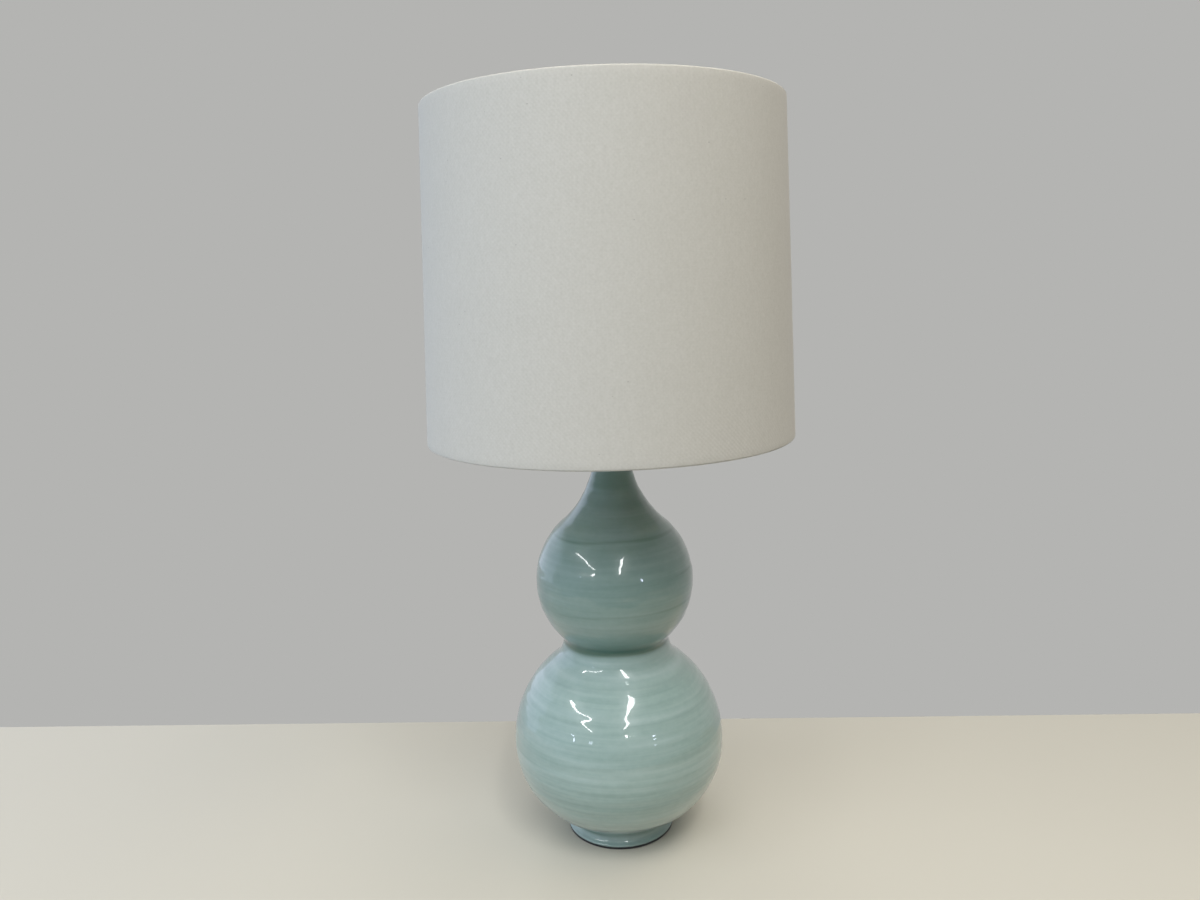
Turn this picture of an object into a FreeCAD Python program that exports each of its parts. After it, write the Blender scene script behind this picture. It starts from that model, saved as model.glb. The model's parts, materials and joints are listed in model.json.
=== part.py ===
import FreeCAD, Part
import math
import os
import types
import Sketcher

# Double gourd table lamp: a glazed two-ball body that carries a harp, a bulb socket and a drum shade.
#
# Millimetres, +Z up. The origin is on the table, on the lamp's axis; -Y is the front, where the
# switch knob points, and the cord leaves at the back. The harp stands in the XZ plane.
# Every driving size is one cell of the sheet "Sizes"; whatever meets another piece is worked out
# from the same cells and a named clearance.

SIZES = (
    # alias, millimetres, what it measures
    ("felt_radius", 57.0, "base felt: radius"),
    ("felt_thickness", 2.0, "base felt: thickness"),
    ("wall", 6.5, "glazed body: wall, measured square to the surface"),
    ("foot_radius", 59.3, "glazed body: foot ring, largest radius"),
    ("foot_inner_radius", 46.5, "glazed body: recess inside the foot ring"),
    ("foot_edge", 1.5, "glazed body: rounding under the foot ring"),
    ("foot_flare", 7.0, "glazed body: height over which the foot draws in"),
    ("collar_radius", 53.8, "glazed body: collar between foot and belly"),
    ("collar_fillet", 3.0, "glazed body: pooled glaze where the collar meets the belly"),
    ("recess_depth", 9.5, "glazed body: depth of the recess in the foot"),
    ("belly_height", 103.0, "glazed body: widest level of the lower ball, above the foot"),
    ("belly_radius", 115.3, "glazed body: lower ball"),
    ("under_radius", 92.4, "glazed body: arc of the lower ball's underside"),
    ("waist_fillet", 21.0, "glazed body: arc that joins the two balls"),
    ("crown_height", 284.9, "glazed body: centre of the upper ball, above the foot"),
    ("crown_radius", 84.65, "glazed body: upper ball"),
    ("neck_arc", 109.0, "glazed body: hollow arc of the neck"),
    ("neck_arc_offset", 127.3, "glazed body: centre of that arc, from the axis"),
    ("body_height", 428.0, "glazed body: foot to rim"),
    ("rim_edge", 2.0, "glazed body: rounding of the rim"),
    ("rod_hole_clearance", 0.8, "glazed body: floor hole round the rod"),
    ("outlet_height", 37.7, "glazed body: cord hole, above the foot"),
    ("bushing_bore", 4.0, "cord bushing: radius of its bore"),
    ("bushing_sleeve", 5.8, "cord bushing: radius of its sleeve"),
    ("bushing_flange", 8.2, "cord bushing: radius of its flange"),
    ("bushing_flange_thickness", 2.2, "cord bushing: thickness of its flange"),
    ("bushing_overhang", 1.5, "cord bushing: sleeve inside the wall"),
    ("bushing_clearance", 0.2, "cord bushing: sleeve in the body's hole"),
    ("rod_radius", 5.0, "threaded rod: outside"),
    ("rod_bore", 3.2, "threaded rod: wire way"),
    ("rod_tail", 0.6, "threaded rod: beyond the bottom nut"),
    ("thread_clearance", 0.1, "nuts, cap and plate round the rod"),
    ("washer_radius", 19.0, "bottom washer: outside"),
    ("washer_thickness", 1.6, "bottom washer: thickness"),
    ("lock_washer_radius", 8.5, "split washer: outside"),
    ("lock_washer_thickness", 1.5, "split washer: thickness"),
    ("nut_across_flats", 14.3, "bottom nut: across flats"),
    ("nut_thickness", 4.8, "bottom nut: thickness"),
    ("cap_wall", 1.2, "vase cap: spun wall"),
    ("cap_skirt", 3.0, "vase cap: skirt below the rim"),
    ("cap_clearance", 0.5, "vase cap: skirt round the rim"),
    ("cap_dome_radius", 14.0, "vase cap: foot of its dome"),
    ("cap_neck_radius", 7.5, "vase cap: top of its dome"),
    ("cap_dome_arc", 8.0, "vase cap: arc of its dome"),
    ("cap_height", 8.2, "vase cap: height above the rim"),
    ("spacer_radius", 8.0, "neck spacer: radius of its rims"),
    ("spacer_rim", 1.5, "neck spacer: height of each rim"),
    ("spacer_arc", 6.0, "neck spacer: hollow arc"),
    ("spacer_height", 8.0, "neck spacer: height"),
    ("saddle_thickness", 1.6, "harp saddle: sheet"),
    ("saddle_width", 13.0, "harp saddle: width of the strip"),
    ("saddle_height", 20.0, "harp saddle: tips above its underside"),
    ("saddle_bend", 4.6, "harp saddle: outside bend radius"),
    ("saddle_tip_width", 3.2, "harp saddle: tongue that enters the ferrule"),
    ("saddle_tip_height", 8.0, "harp saddle: length of that tongue"),
    ("top_nut_across_flats", 16.0, "top nut: across flats"),
    ("top_nut_thickness", 3.2, "top nut: thickness"),
    ("socket_hub_radius", 8.0, "socket cap: hub"),
    ("socket_hub_height", 9.0, "socket cap: hub"),
    ("socket_cap_bell", 15.0, "socket cap: where its bell turns upright"),
    ("socket_cap_height", 21.0, "socket cap: height"),
    ("socket_cap_wall", 1.0, "socket cap: wall"),
    ("socket_cap_arc", 12.0, "socket cap: arc of its bell"),
    ("set_screw_radius", 1.5, "set screw: radius"),
    ("set_screw_length", 3.6, "set screw: length"),
    ("set_screw_height", 4.5, "set screw: height in the hub"),
    ("shell_radius", 16.2, "socket shell: outside"),
    ("shell_wall", 0.5, "socket shell: wall"),
    ("shell_height", 52.0, "socket shell: height"),
    ("shell_bead_height", 44.0, "socket shell: lower end of its bead"),
    ("shell_bead_length", 3.0, "socket shell: length of its bead"),
    ("shell_bead_arc", 1.7, "socket shell: arc of its bead"),
    ("shell_slot_radius", 4.2, "socket shell and liner: opening for the switch shaft"),
    ("fit_gap", 0.1, "socket pieces: gap to the next one out"),
    ("liner_wall", 0.7, "socket liner: wall"),
    ("liner_height", 49.0, "socket liner: height"),
    ("block_lift", 1.0, "switch block: above the shell's lower edge"),
    ("block_height", 20.0, "switch block: height"),
    ("block_flat", 11.5, "switch block: flats for the terminal screws, from the axis"),
    ("block_gap", 0.4, "switch block: gap to the liner"),
    ("shaft_height", 11.0, "switch shaft: height in the block"),
    ("terminal_height", 4.5, "terminal screws: height in the block"),
    ("terminal_head_radius", 2.7, "terminal screws: head"),
    ("terminal_head_height", 1.2, "terminal screws: head"),
    ("terminal_shank_radius", 1.4, "terminal screws: shank"),
    ("terminal_shank_length", 4.0, "terminal screws: shank"),
    ("screw_shell_wall", 0.5, "screw shell: wall"),
    ("screw_shell_height", 27.0, "screw shell: height"),
    ("screw_shell_flange", 4.0, "screw shell: width of its bottom flange"),
    ("lamp_clearance", 0.3, "bulb base and tip to what they face"),
    ("contact_height", 3.0, "centre contact: height"),
    ("contact_thickness", 0.5, "centre contact: strip"),
    ("contact_width", 5.0, "centre contact: width of the strip"),
    ("contact_foot", 6.0, "centre contact: half of its foot"),
    ("contact_crest", 2.6, "centre contact: half of its crest"),
    ("shaft_radius", 1.9, "switch shaft: radius"),
    ("shaft_inner_end", 4.5, "switch shaft: inner end, from the axis"),
    ("shaft_reach", 26.0, "switch shaft: outer end, from the axis"),
    ("shaft_clearance", 0.08, "switch shaft: in the block"),
    ("knob_gap", 1.5, "switch knob: from the shell"),
    ("knob_collar_radius", 5.0, "switch knob: collar"),
    ("knob_collar_length", 4.5, "switch knob: collar"),
    ("knob_length", 18.0, "switch knob: collar and paddle"),
    ("knob_half_width", 6.8, "switch knob: paddle"),
    ("knob_thickness", 5.0, "switch knob: paddle"),
    ("knob_shoulder", 9.5, "switch knob: widest level of the paddle"),
    ("knob_rounding", 1.0, "switch knob: edges of the paddle"),
    ("bulb_base_radius", 13.1, "bulb: screw base"),
    ("bulb_base_wall", 0.5, "bulb: wall of the base"),
    ("bulb_base_bottom", 6.0, "bulb: lower edge of the base, above the tip"),
    ("bulb_base_top", 27.0, "bulb: upper edge of the base"),
    ("bulb_tip_radius", 4.6, "bulb: tip contact"),
    ("bulb_tip_height", 1.8, "bulb: tip contact"),
    ("bulb_insulator_radius", 10.0, "bulb: black glass round the tip"),
    ("bulb_globe_radius", 30.0, "bulb: globe"),
    ("bulb_globe_height", 78.0, "bulb: centre of the globe, above the tip"),
    ("bulb_neck_radius", 12.2, "bulb: glass neck inside the base"),
    ("bulb_neck_arc", 60.0, "bulb: hollow arc below the globe"),
    ("bulb_neck_start", 18.0, "bulb: lower end of the glass"),
    ("glass_wall", 0.9, "bulb: glass"),
    ("harp_wire", 2.0, "harp: radius of the wire"),
    ("harp_leg_offset", 27.0, "harp: legs, from the axis"),
    ("harp_leg", 26.0, "harp: straight length of a leg"),
    ("harp_half_width", 57.0, "harp: widest place, from the axis"),
    ("harp_bow", 95.0, "harp: height over which it widens"),
    ("harp_height", 286.0, "harp: from its ends to the middle of the wire at the top"),
    ("ferrule_wall", 1.3, "ferrules: wall"),
    ("ferrule_clearance", 0.3, "ferrules: round the harp's wire"),
    ("ferrule_length", 16.0, "ferrules: length"),
    ("ferrule_rounding", 0.5, "ferrules: edges"),
    ("stud_block_radius", 6.5, "harp stud: block round the wire"),
    ("stud_block_below", 3.6, "harp stud: block, below the wire's middle"),
    ("fixed_gap", 0.05, "pieces fixed round one another: stud on the wire, knob on its shaft"),
    ("stud_shoulder_radius", 9.5, "harp stud: shoulder that carries the shade"),
    ("stud_shoulder_height", 2.5, "harp stud: shoulder"),
    ("stud_spigot_inset", 0.2, "harp stud: spigot, below the hub's upper face"),
    ("stud_post_radius", 3.1, "harp stud: threaded post"),
    ("stud_post_height", 11.0, "harp stud: post above the hub"),
    ("pivot_clearance", 0.08, "hub on the spigot, finial on the post"),
    ("finial_foot_radius", 6.5, "finial: foot"),
    ("finial_foot_height", 2.0, "finial: foot"),
    ("finial_neck_radius", 4.8, "finial: neck"),
    ("finial_neck_height", 7.0, "finial: where its neck begins"),
    ("finial_foot_arc", 6.0, "finial: hollow arc above the foot"),
    ("finial_ball_start", 12.0, "finial: where its ball begins"),
    ("finial_ball_radius", 9.0, "finial: ball"),
    ("finial_bore_spare", 1.6, "finial: bore beyond the post"),
    ("hub_radius", 12.5, "spider hub: outside"),
    ("hub_bore", 5.5, "spider hub: bore"),
    ("hub_thickness", 1.6, "spider hub: thickness"),
    ("shade_drop", 17.0, "shade: its top above the hub's underside"),
    ("shade_height", 330.0, "shade: height"),
    ("shade_bottom_radius", 190.5, "shade: bottom, outside"),
    ("shade_taper", 11.5, "shade: how much narrower its top is, each side"),
    ("linen_thickness", 0.7, "shade linen: thickness"),
    ("linen_edge", 2.0, "shade linen: rounding of the rolled rims"),
    ("linen_hem", 9.0, "shade linen: turned in over the rings"),
    ("panel_thickness", 0.8, "shade panel: thickness"),
    ("shade_gap", 0.15, "shade: between its layers"),
    ("ring_wire", 1.6, "shade rings and arms: radius of the wire"),
    ("arm_run", 24.0, "spider arms: last stretch, measured level"),
    ("arm_bend", 4.0, "spider arms: tangent length of the bend"),
    ("notch_half_width", 2.6, "shade linen: notch round each arm"),
    ("notch_top", 1.4, "shade linen: notch, below the rim"),
)
ARM_COUNT = 3
LOCK_WASHER_SWEEP = 350.0
LEFT, RIGHT = "left", "right"

doc = FreeCAD.newDocument("double_gourd_lamp")


class Size:
    """A number that also carries the sheet expression that gives it."""

    def __init__(self, value, text):
        self.value = float(value)
        self.text = text

    def __add__(self, other):
        other = size_of(other)
        return Size(self.value + other.value, f"({self.text} + {other.text})")

    def __sub__(self, other):
        other = size_of(other)
        return Size(self.value - other.value, f"({self.text} - {other.text})")

    def __rsub__(self, other):
        return size_of(other) - self

    def __mul__(self, other):
        other = size_of(other)
        return Size(self.value * other.value, f"({self.text} * {other.text})")

    def __truediv__(self, other):
        other = size_of(other)
        return Size(self.value / other.value, f"({self.text} / {other.text})")

    def __neg__(self):
        return Size(-self.value, f"(-{self.text})")

    __radd__ = __add__
    __rmul__ = __mul__


def size_of(number):
    """A Size as it is, and a bare number as a Size."""
    return number if isinstance(number, Size) else Size(number, repr(number))


def root(size):
    """The square root of a size."""
    return Size(math.sqrt(size.value), f"sqrt({size.text})")


def leg(slant, other):
    """The third side of a right-angled triangle."""
    return root(slant * slant - other * other)


def write_sheet():
    """Put every size into the sheet and give it back as named sizes."""
    sheet = doc.addObject("Spreadsheet::Sheet", "Sizes")
    for row, (alias, value, note) in enumerate(SIZES, start=1):
        sheet.set(f"A{row}", note)
        sheet.set(f"B{row}", str(value))
        sheet.setAlias(f"B{row}", alias)
    doc.recompute()
    return types.SimpleNamespace(**{
        alias: Size(sheet.get(alias), f"Sizes.{alias}") for alias, _, _ in SIZES
    })


# ---------------------------------------------------------------- building blocks

def bind(thing, path, size):
    """Tie one property to the sheet."""
    thing.setExpression(path, size_of(size).text)


def new_body(label, height=None):
    """An empty body, raised to its seat."""
    body = doc.addObject("PartDesign::Body", label)
    body.Label = label
    if height is not None:
        bind(body, "Placement.Base.z", height)
    return body


def new_sketch(body, name, plane):
    """A sketch on one of the body's own origin planes."""
    support = next(item for item in body.Origin.OriginFeatures if item.Role == plane)
    sketch = body.newObject("Sketcher::SketchObject", name)
    sketch.AttachmentSupport = [(support, "")]
    sketch.MapMode = "FlatFace"
    return sketch


def tie(sketch, constraint, size):
    """Add a constraint whose number comes from the sheet."""
    index = sketch.addConstraint(constraint)
    bind(sketch, f"Constraints[{index}]", size)


def pin_point(sketch, curve, end, across, up):
    """Fix one end of a curve at its distances from the sketch's axes, which are curves -2 and -1."""
    for kind, axis, size in (("DistanceX", -2, across), ("DistanceY", -1, up)):
        size = size_of(size)
        if size.value == 0:
            sketch.addConstraint(Sketcher.Constraint("PointOnObject", curve, end, axis))
        else:
            tie(sketch, Sketcher.Constraint(kind, -1, 1, curve, end, size.value), size)


def arc_between(start, end, radius, side):
    """The shorter arc from start to end, its centre on that side of the way."""
    way = end - start
    rise = math.sqrt(max(radius ** 2 - (way.Length / 2) ** 2, 0.0))
    left = FreeCAD.Vector(-way.y, way.x, 0).normalize()
    centre = (start + end) * 0.5 + left * (rise if side == LEFT else -rise)
    first, last = (start, end) if side == LEFT else (end, start)
    angles = [math.atan2(point.y - centre.y, point.x - centre.x) for point in (first, last)]
    return Part.ArcOfCircle(Part.Circle(centre, FreeCAD.Vector(0, 0, 1), radius), *angles)


def other(side):
    """The opposite hand."""
    return RIGHT if side == LEFT else LEFT


def trace(sketch, points, closed=True):
    """Draw lines and arcs from point to point.

    A point is (across, up), or (across, up, radius, side) where an arc leaves it.
    """
    corners = [FreeCAD.Vector(size_of(p[0]).value, size_of(p[1]).value, 0) for p in points]
    total = len(points) if closed else len(points) - 1
    first = sketch.GeometryCount
    ends = []
    for index in range(total):
        start, end = corners[index], corners[(index + 1) % len(points)]
        arc = points[index][2:]
        curve = arc_between(start, end, arc[0].value, arc[1]) if arc else Part.LineSegment(start, end)
        sketch.addGeometry(curve, False)
        ends.append((2, 1) if arc and arc[1] == RIGHT else (1, 2))
    for index in range(total):
        curve = first + index
        if closed or index:
            before = (index - 1) % total
            link = (first + before, ends[before][1], curve, ends[index][0])
            sketch.addConstraint(Sketcher.Constraint("Coincident", *link))
        pin_point(sketch, curve, ends[index][0], *points[index][:2])
        if points[index][2:]:
            radius = points[index][2]
            tie(sketch, Sketcher.Constraint("Radius", curve, radius.value), radius)
    if not closed:
        pin_point(sketch, first + total - 1, ends[-1][1], *points[-1][:2])
    return sketch


def circles(sketch, across, up, *radii):
    """Draw circles round one centre."""
    centre = FreeCAD.Vector(size_of(across).value, size_of(up).value, 0)
    for radius in radii:
        curve = sketch.addGeometry(Part.Circle(centre, FreeCAD.Vector(0, 0, 1), radius.value), False)
        pin_point(sketch, curve, 3, across, up)
        tie(sketch, Sketcher.Constraint("Radius", curve, radius.value), radius)
    return sketch


def turned(body, sketch, kind="PartDesign::Revolution", axis="V_Axis", angle=360.0):
    """Turn a profile round an axis, to add or to cut."""
    feature = body.newObject(kind, kind.split("::")[1])
    feature.Profile = sketch
    feature.ReferenceAxis = (sketch, [axis])
    feature.Angle = angle
    return feature


def raised(body, sketch, length, both_ways=False, kind="PartDesign::Pad"):
    """Draw a profile out along its normal, to add or to cut."""
    feature = body.newObject(kind, kind.split("::")[1])
    feature.Profile = sketch
    feature.SideType = "Symmetric" if both_ways else "One side"
    bind(feature, "Length", length)
    return feature


def swept(body, section, path):
    """Carry a section along a path."""
    feature = body.newObject("PartDesign::AdditivePipe", "Pipe")
    feature.Profile = section
    feature.Spine = (path, [f"Edge{n + 1}" for n in range(path.GeometryCount)])
    return feature


def repeated(body, feature, count):
    """Repeat a feature evenly round the body's Z axis."""
    axis = next(item for item in body.Origin.OriginFeatures if item.Role == "Z_Axis")
    pattern = body.newObject("PartDesign::PolarPattern", "Pattern")
    pattern.Originals = [feature]
    pattern.Axis = (axis, [""])
    pattern.Angle = 360.0
    pattern.Occurrences = count
    body.Tip = pattern
    return pattern


def softened(body, feature, radius, picks):
    """Round the edges of a feature that picks chooses."""
    doc.recompute()
    names = [f"Edge{n}" for n, edge in enumerate(feature.Shape.Edges, start=1) if picks(edge)]
    fillet = body.newObject("PartDesign::Fillet", "Rounding")
    fillet.Base = (feature, names)
    bind(fillet, "Radius", radius)
    return fillet


def lathe_part(label, height, points):
    """A piece turned from one half profile about Z."""
    body = new_body(label, height)
    turned(body, trace(new_sketch(body, "Profile", "XZ_Plane"), points))
    return body


def ring_plate(label, height, bore, radius, thickness):
    """A flat washer or a tube."""
    body = new_body(label, height)
    raised(body, circles(new_sketch(body, "Section", "XY_Plane"), 0, 0, bore, radius), thickness)
    return body


# ---------------------------------------------------------------- levels and shared places

s = write_sheet()

FOOT_Z = s.felt_thickness
RECESS_Z = FOOT_Z + s.recess_depth
RIM_Z = FOOT_Z + s.body_height
SPACER_Z = RIM_Z + s.cap_height
SADDLE_Z = SPACER_Z + s.spacer_height
TOP_NUT_Z = SADDLE_Z + s.saddle_thickness
SOCKET_Z = TOP_NUT_Z + s.top_nut_thickness
SHELL_Z = SOCKET_Z + s.socket_cap_bell
BLOCK_Z = SHELL_Z + s.block_lift
SHAFT_Z = BLOCK_Z + s.shaft_height
CONTACT_Z = BLOCK_Z + s.block_height
BULB_Z = CONTACT_Z + s.contact_height + s.lamp_clearance
HARP_Z = SADDLE_Z + s.saddle_height
STUD_Z = HARP_Z + s.harp_height
HUB_Z = STUD_Z + s.harp_wire + s.stud_shoulder_height
FINIAL_Z = HUB_Z + s.hub_thickness

rod_fit = s.rod_radius + s.thread_clearance
shell_bore = s.shell_radius - s.shell_wall
liner_radius = shell_bore - s.fit_gap
block_radius = liner_radius - s.liner_wall - s.block_gap
screw_bore = s.bulb_base_radius + s.lamp_clearance

# the waist arc touches both balls; its centre lies waist_up above the belly's centre
ball_distance = s.crown_height - s.belly_height
waist_low = s.belly_radius + s.waist_fillet
waist_high = s.crown_radius + s.waist_fillet
waist_sum = ball_distance * ball_distance + waist_low * waist_low - waist_high * waist_high
waist_up = waist_sum / (2 * ball_distance)
waist_out = leg(waist_low, waist_up)
# the neck arc touches the crown; its centre lies neck_up above the crown's centre
neck_reach = s.crown_radius + s.neck_arc
neck_up = leg(neck_reach, s.neck_arc_offset)
neck_centre = s.crown_height + neck_up
under_offset = s.belly_radius - s.under_radius


def neck_radius(height, arc):
    """Radius of the neck at a height, for its outside or its inside arc."""
    return s.neck_arc_offset - leg(arc, neck_centre - height)


rim_radius = neck_radius(s.body_height - s.rim_edge, s.neck_arc)
# the cord leaves square to the wall of the belly's underside, at the back
outlet_rise = (s.outlet_height - s.belly_height) / s.under_radius
outlet_out = root(1 - outlet_rise * outlet_rise)
outlet_mouth = under_offset + s.under_radius * outlet_out
outlet_radius = s.bushing_sleeve + s.bushing_clearance

# the shade's levels and rings, from the underside of its hub
shade_top = s.shade_drop
shade_top_radius = s.shade_bottom_radius - s.shade_taper
shade_bottom = s.shade_drop - s.shade_height
roll_width = 2 * s.linen_thickness + s.panel_thickness + 3 * s.shade_gap + 2 * s.ring_wire
ring_inset = s.linen_thickness + s.panel_thickness + 2 * s.shade_gap + s.ring_wire
ring_rise = s.linen_thickness + s.shade_gap + s.ring_wire
top_ring_radius = shade_top_radius - ring_inset
top_ring_level = shade_top - ring_rise


# ---------------------------------------------------------------- base and body

def base_felt():
    """Felt disc under the foot."""
    felt = doc.addObject("Part::Cylinder", "base_felt")
    bind(felt, "Radius", s.felt_radius)
    bind(felt, "Height", s.felt_thickness)
    return felt


def foot_points():
    """Outside of the foot, its flare and its collar, up to the belly."""
    step = s.foot_radius - s.collar_radius
    flare_arc = (step * step + s.foot_flare * s.foot_flare) / (2 * step)
    joint_reach = s.under_radius + s.collar_fillet
    joint_out = s.collar_radius + s.collar_fillet - under_offset
    joint_down = leg(joint_reach, joint_out)
    share = s.under_radius / joint_reach
    return [
        (s.foot_radius - s.foot_edge, 0, s.foot_edge, LEFT),
        (s.foot_radius, s.foot_edge, flare_arc, RIGHT),
        (s.collar_radius, s.foot_edge + s.foot_flare),
        (s.collar_radius, s.belly_height - joint_down, s.collar_fillet, RIGHT),
        (under_offset + joint_out * share, s.belly_height - joint_down * share, s.under_radius, LEFT),
    ]


def gourd_points(inset, side):
    """The touching points of both balls and the neck, at a depth below the glaze.

    They are listed from the belly upwards; side tells on which hand the balls' centres lie.
    """
    belly = s.belly_radius - inset
    crown = s.crown_radius - inset
    low, high, top = belly / waist_low, crown / waist_high, crown / neck_reach
    waist = s.waist_fillet + inset
    return {
        "belly": (belly, s.belly_height, belly, side),
        "waist_low": (waist_out * low, s.belly_height + waist_up * low, waist, other(side)),
        "waist_high": (waist_out * high, s.crown_height - (ball_distance - waist_up) * high, crown, side),
        "neck": (s.neck_arc_offset * top, s.crown_height + neck_up * top, s.neck_arc + inset, other(side)),
    }


def ceramic_body():
    """Thrown and glazed shell: foot ring, lower ball, waist, upper ball and neck, with the cord hole."""
    body = new_body("ceramic_body", FOOT_Z)
    outside = gourd_points(size_of(0), LEFT)
    inside = gourd_points(s.wall, RIGHT)
    hole = s.rod_radius + s.rod_hole_clearance
    floor = s.belly_height - s.under_radius + s.wall
    under = s.under_radius - s.wall
    points = foot_points() + [
        outside["belly"],
        outside["waist_low"],
        outside["waist_high"],
        outside["neck"],
        (rim_radius, s.body_height - s.rim_edge, s.rim_edge, LEFT),
        (rim_radius - s.rim_edge, s.body_height),
        (neck_radius(s.body_height, s.neck_arc + s.wall), s.body_height, s.neck_arc + s.wall, LEFT),
        inside["neck"][:2] + (inside["waist_high"][2], RIGHT),
        inside["waist_high"][:2] + (inside["waist_low"][2], LEFT),
        inside["waist_low"][:2] + (inside["belly"][2], RIGHT),
        inside["belly"][:2] + (under, RIGHT),
        (under_offset, floor),
        (hole, floor),
        (hole, s.recess_depth),
        (s.foot_inner_radius, s.recess_depth),
        (s.foot_inner_radius, 0),
    ]
    turned(body, trace(new_sketch(body, "Profile", "XZ_Plane"), points))
    drill_outlet(body)
    return body


def drill_outlet(body):
    """Cut the cord hole square to the wall, at the back."""
    spare = 2 * s.bushing_overhang
    ends = []
    for along in (-(s.wall + spare), spare):
        ends.append((outlet_mouth + outlet_out * along, s.outlet_height + outlet_rise * along))
    sides = [(y - outlet_rise * outlet_radius, z + outlet_out * outlet_radius) for y, z in ends]
    sketch = trace(new_sketch(body, "Outlet", "YZ_Plane"), [ends[0], ends[1], sides[1], sides[0]])
    line = [FreeCAD.Vector(y.value, z.value, 0) for y, z in ends]
    axis = sketch.addGeometry(Part.LineSegment(*line), True)
    for end in (1, 2):
        sketch.addConstraint(Sketcher.Constraint("Coincident", axis, end, 0, end))
    turned(body, sketch, "PartDesign::Groove", "Axis0")


def cord_bushing():
    """Turned bushing that lines the cord hole, its flange on the glaze."""
    body = new_body("cord_bushing", FOOT_Z + s.outlet_height)
    edge = s.bushing_flange_thickness / 2
    inner_end = -(s.wall + s.bushing_overhang)
    points = [
        (s.bushing_bore, inner_end),
        (s.bushing_sleeve, inner_end),
        (s.bushing_sleeve, 0),
        (s.bushing_flange, 0),
        (s.bushing_flange, edge, edge, LEFT),
        (s.bushing_flange - edge, s.bushing_flange_thickness),
        (s.bushing_bore, s.bushing_flange_thickness),
    ]
    turned(body, trace(new_sketch(body, "Profile", "XZ_Plane"), points))
    outward = FreeCAD.Vector(0, outlet_out.value, outlet_rise.value)
    body.Placement = FreeCAD.Placement(FreeCAD.Vector(), FreeCAD.Rotation(FreeCAD.Vector(0, 0, 1), outward))
    bind(body, "Placement.Base.y", outlet_mouth)
    return body


# ---------------------------------------------------------------- rod and what it clamps

def hex_nut(label, height, across_flats, thickness):
    """Hexagon nut with its upper corners chamfered."""
    body = new_body(label, height)
    half, tall = across_flats / 2, across_flats / root(size_of(3))
    side = tall / 2
    corners = [(half, side), (0, tall), (-half, side), (-half, -side), (0, -tall), (half, -side)]
    sketch = trace(new_sketch(body, "Hexagon", "XY_Plane"), corners)
    circles(sketch, 0, 0, rod_fit)
    raised(body, sketch, thickness)
    chamfer = (tall - half) / 2
    cut = [(half, thickness), (tall + chamfer, thickness), (tall + chamfer, thickness - 2 * chamfer)]
    turned(body, trace(new_sketch(body, "Corners", "XZ_Plane"), cut), "PartDesign::Groove")
    return body


def rod_and_bottom_hardware():
    """Hollow threaded rod, with the washers and the nut that pull it tight in the foot's recess."""
    washer_z = RECESS_Z - s.washer_thickness
    lock_z = washer_z - s.lock_washer_thickness
    nut_z = lock_z - s.nut_thickness
    rod_z = nut_z - s.rod_tail
    rod_top = SOCKET_Z + s.socket_hub_height
    split = new_body("bottom_lock_washer", lock_z)
    section = [
        (rod_fit, 0),
        (s.lock_washer_radius, 0),
        (s.lock_washer_radius, s.lock_washer_thickness),
        (rod_fit, s.lock_washer_thickness),
    ]
    ring = turned(split, trace(new_sketch(split, "Section", "YZ_Plane"), section), angle=LOCK_WASHER_SWEEP)
    ring.Midplane = True
    return [
        ring_plate("bottom_washer", washer_z, rod_fit, s.washer_radius, s.washer_thickness),
        split,
        hex_nut("bottom_nut", nut_z, s.nut_across_flats, s.nut_thickness),
        ring_plate("threaded_rod", rod_z, s.rod_bore, s.rod_radius, rod_top - rod_z),
    ]


def vase_cap():
    """Spun cap over the ceramic rim: skirt, flat shoulder and small dome."""
    skirt_bore = rim_radius + s.cap_clearance
    skirt_radius = skirt_bore + s.cap_wall
    return lathe_part("vase_cap", RIM_Z, [
        (skirt_bore, -s.cap_skirt),
        (skirt_radius, -s.cap_skirt),
        (skirt_radius, 0, s.cap_wall, LEFT),
        (skirt_bore, s.cap_wall),
        (s.cap_dome_radius, s.cap_wall, s.cap_dome_arc, LEFT),
        (s.cap_neck_radius, s.cap_height),
        (rod_fit, s.cap_height),
        (rod_fit, s.cap_height - s.cap_wall),
        (s.cap_neck_radius, s.cap_height - s.cap_wall, s.cap_dome_arc - s.cap_wall, RIGHT),
        (s.cap_dome_radius - s.cap_wall, 0),
        (skirt_bore, 0),
    ])


def neck_spacer():
    """Turned spool between the cap and the saddle."""
    return lathe_part("neck_spacer", SPACER_Z, [
        (rod_fit, 0),
        (s.spacer_radius, 0),
        (s.spacer_radius, s.spacer_rim, s.spacer_arc, RIGHT),
        (s.spacer_radius, s.spacer_height - s.spacer_rim),
        (s.spacer_radius, s.spacer_height),
        (rod_fit, s.spacer_height),
    ])


# ---------------------------------------------------------------- harp

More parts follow.
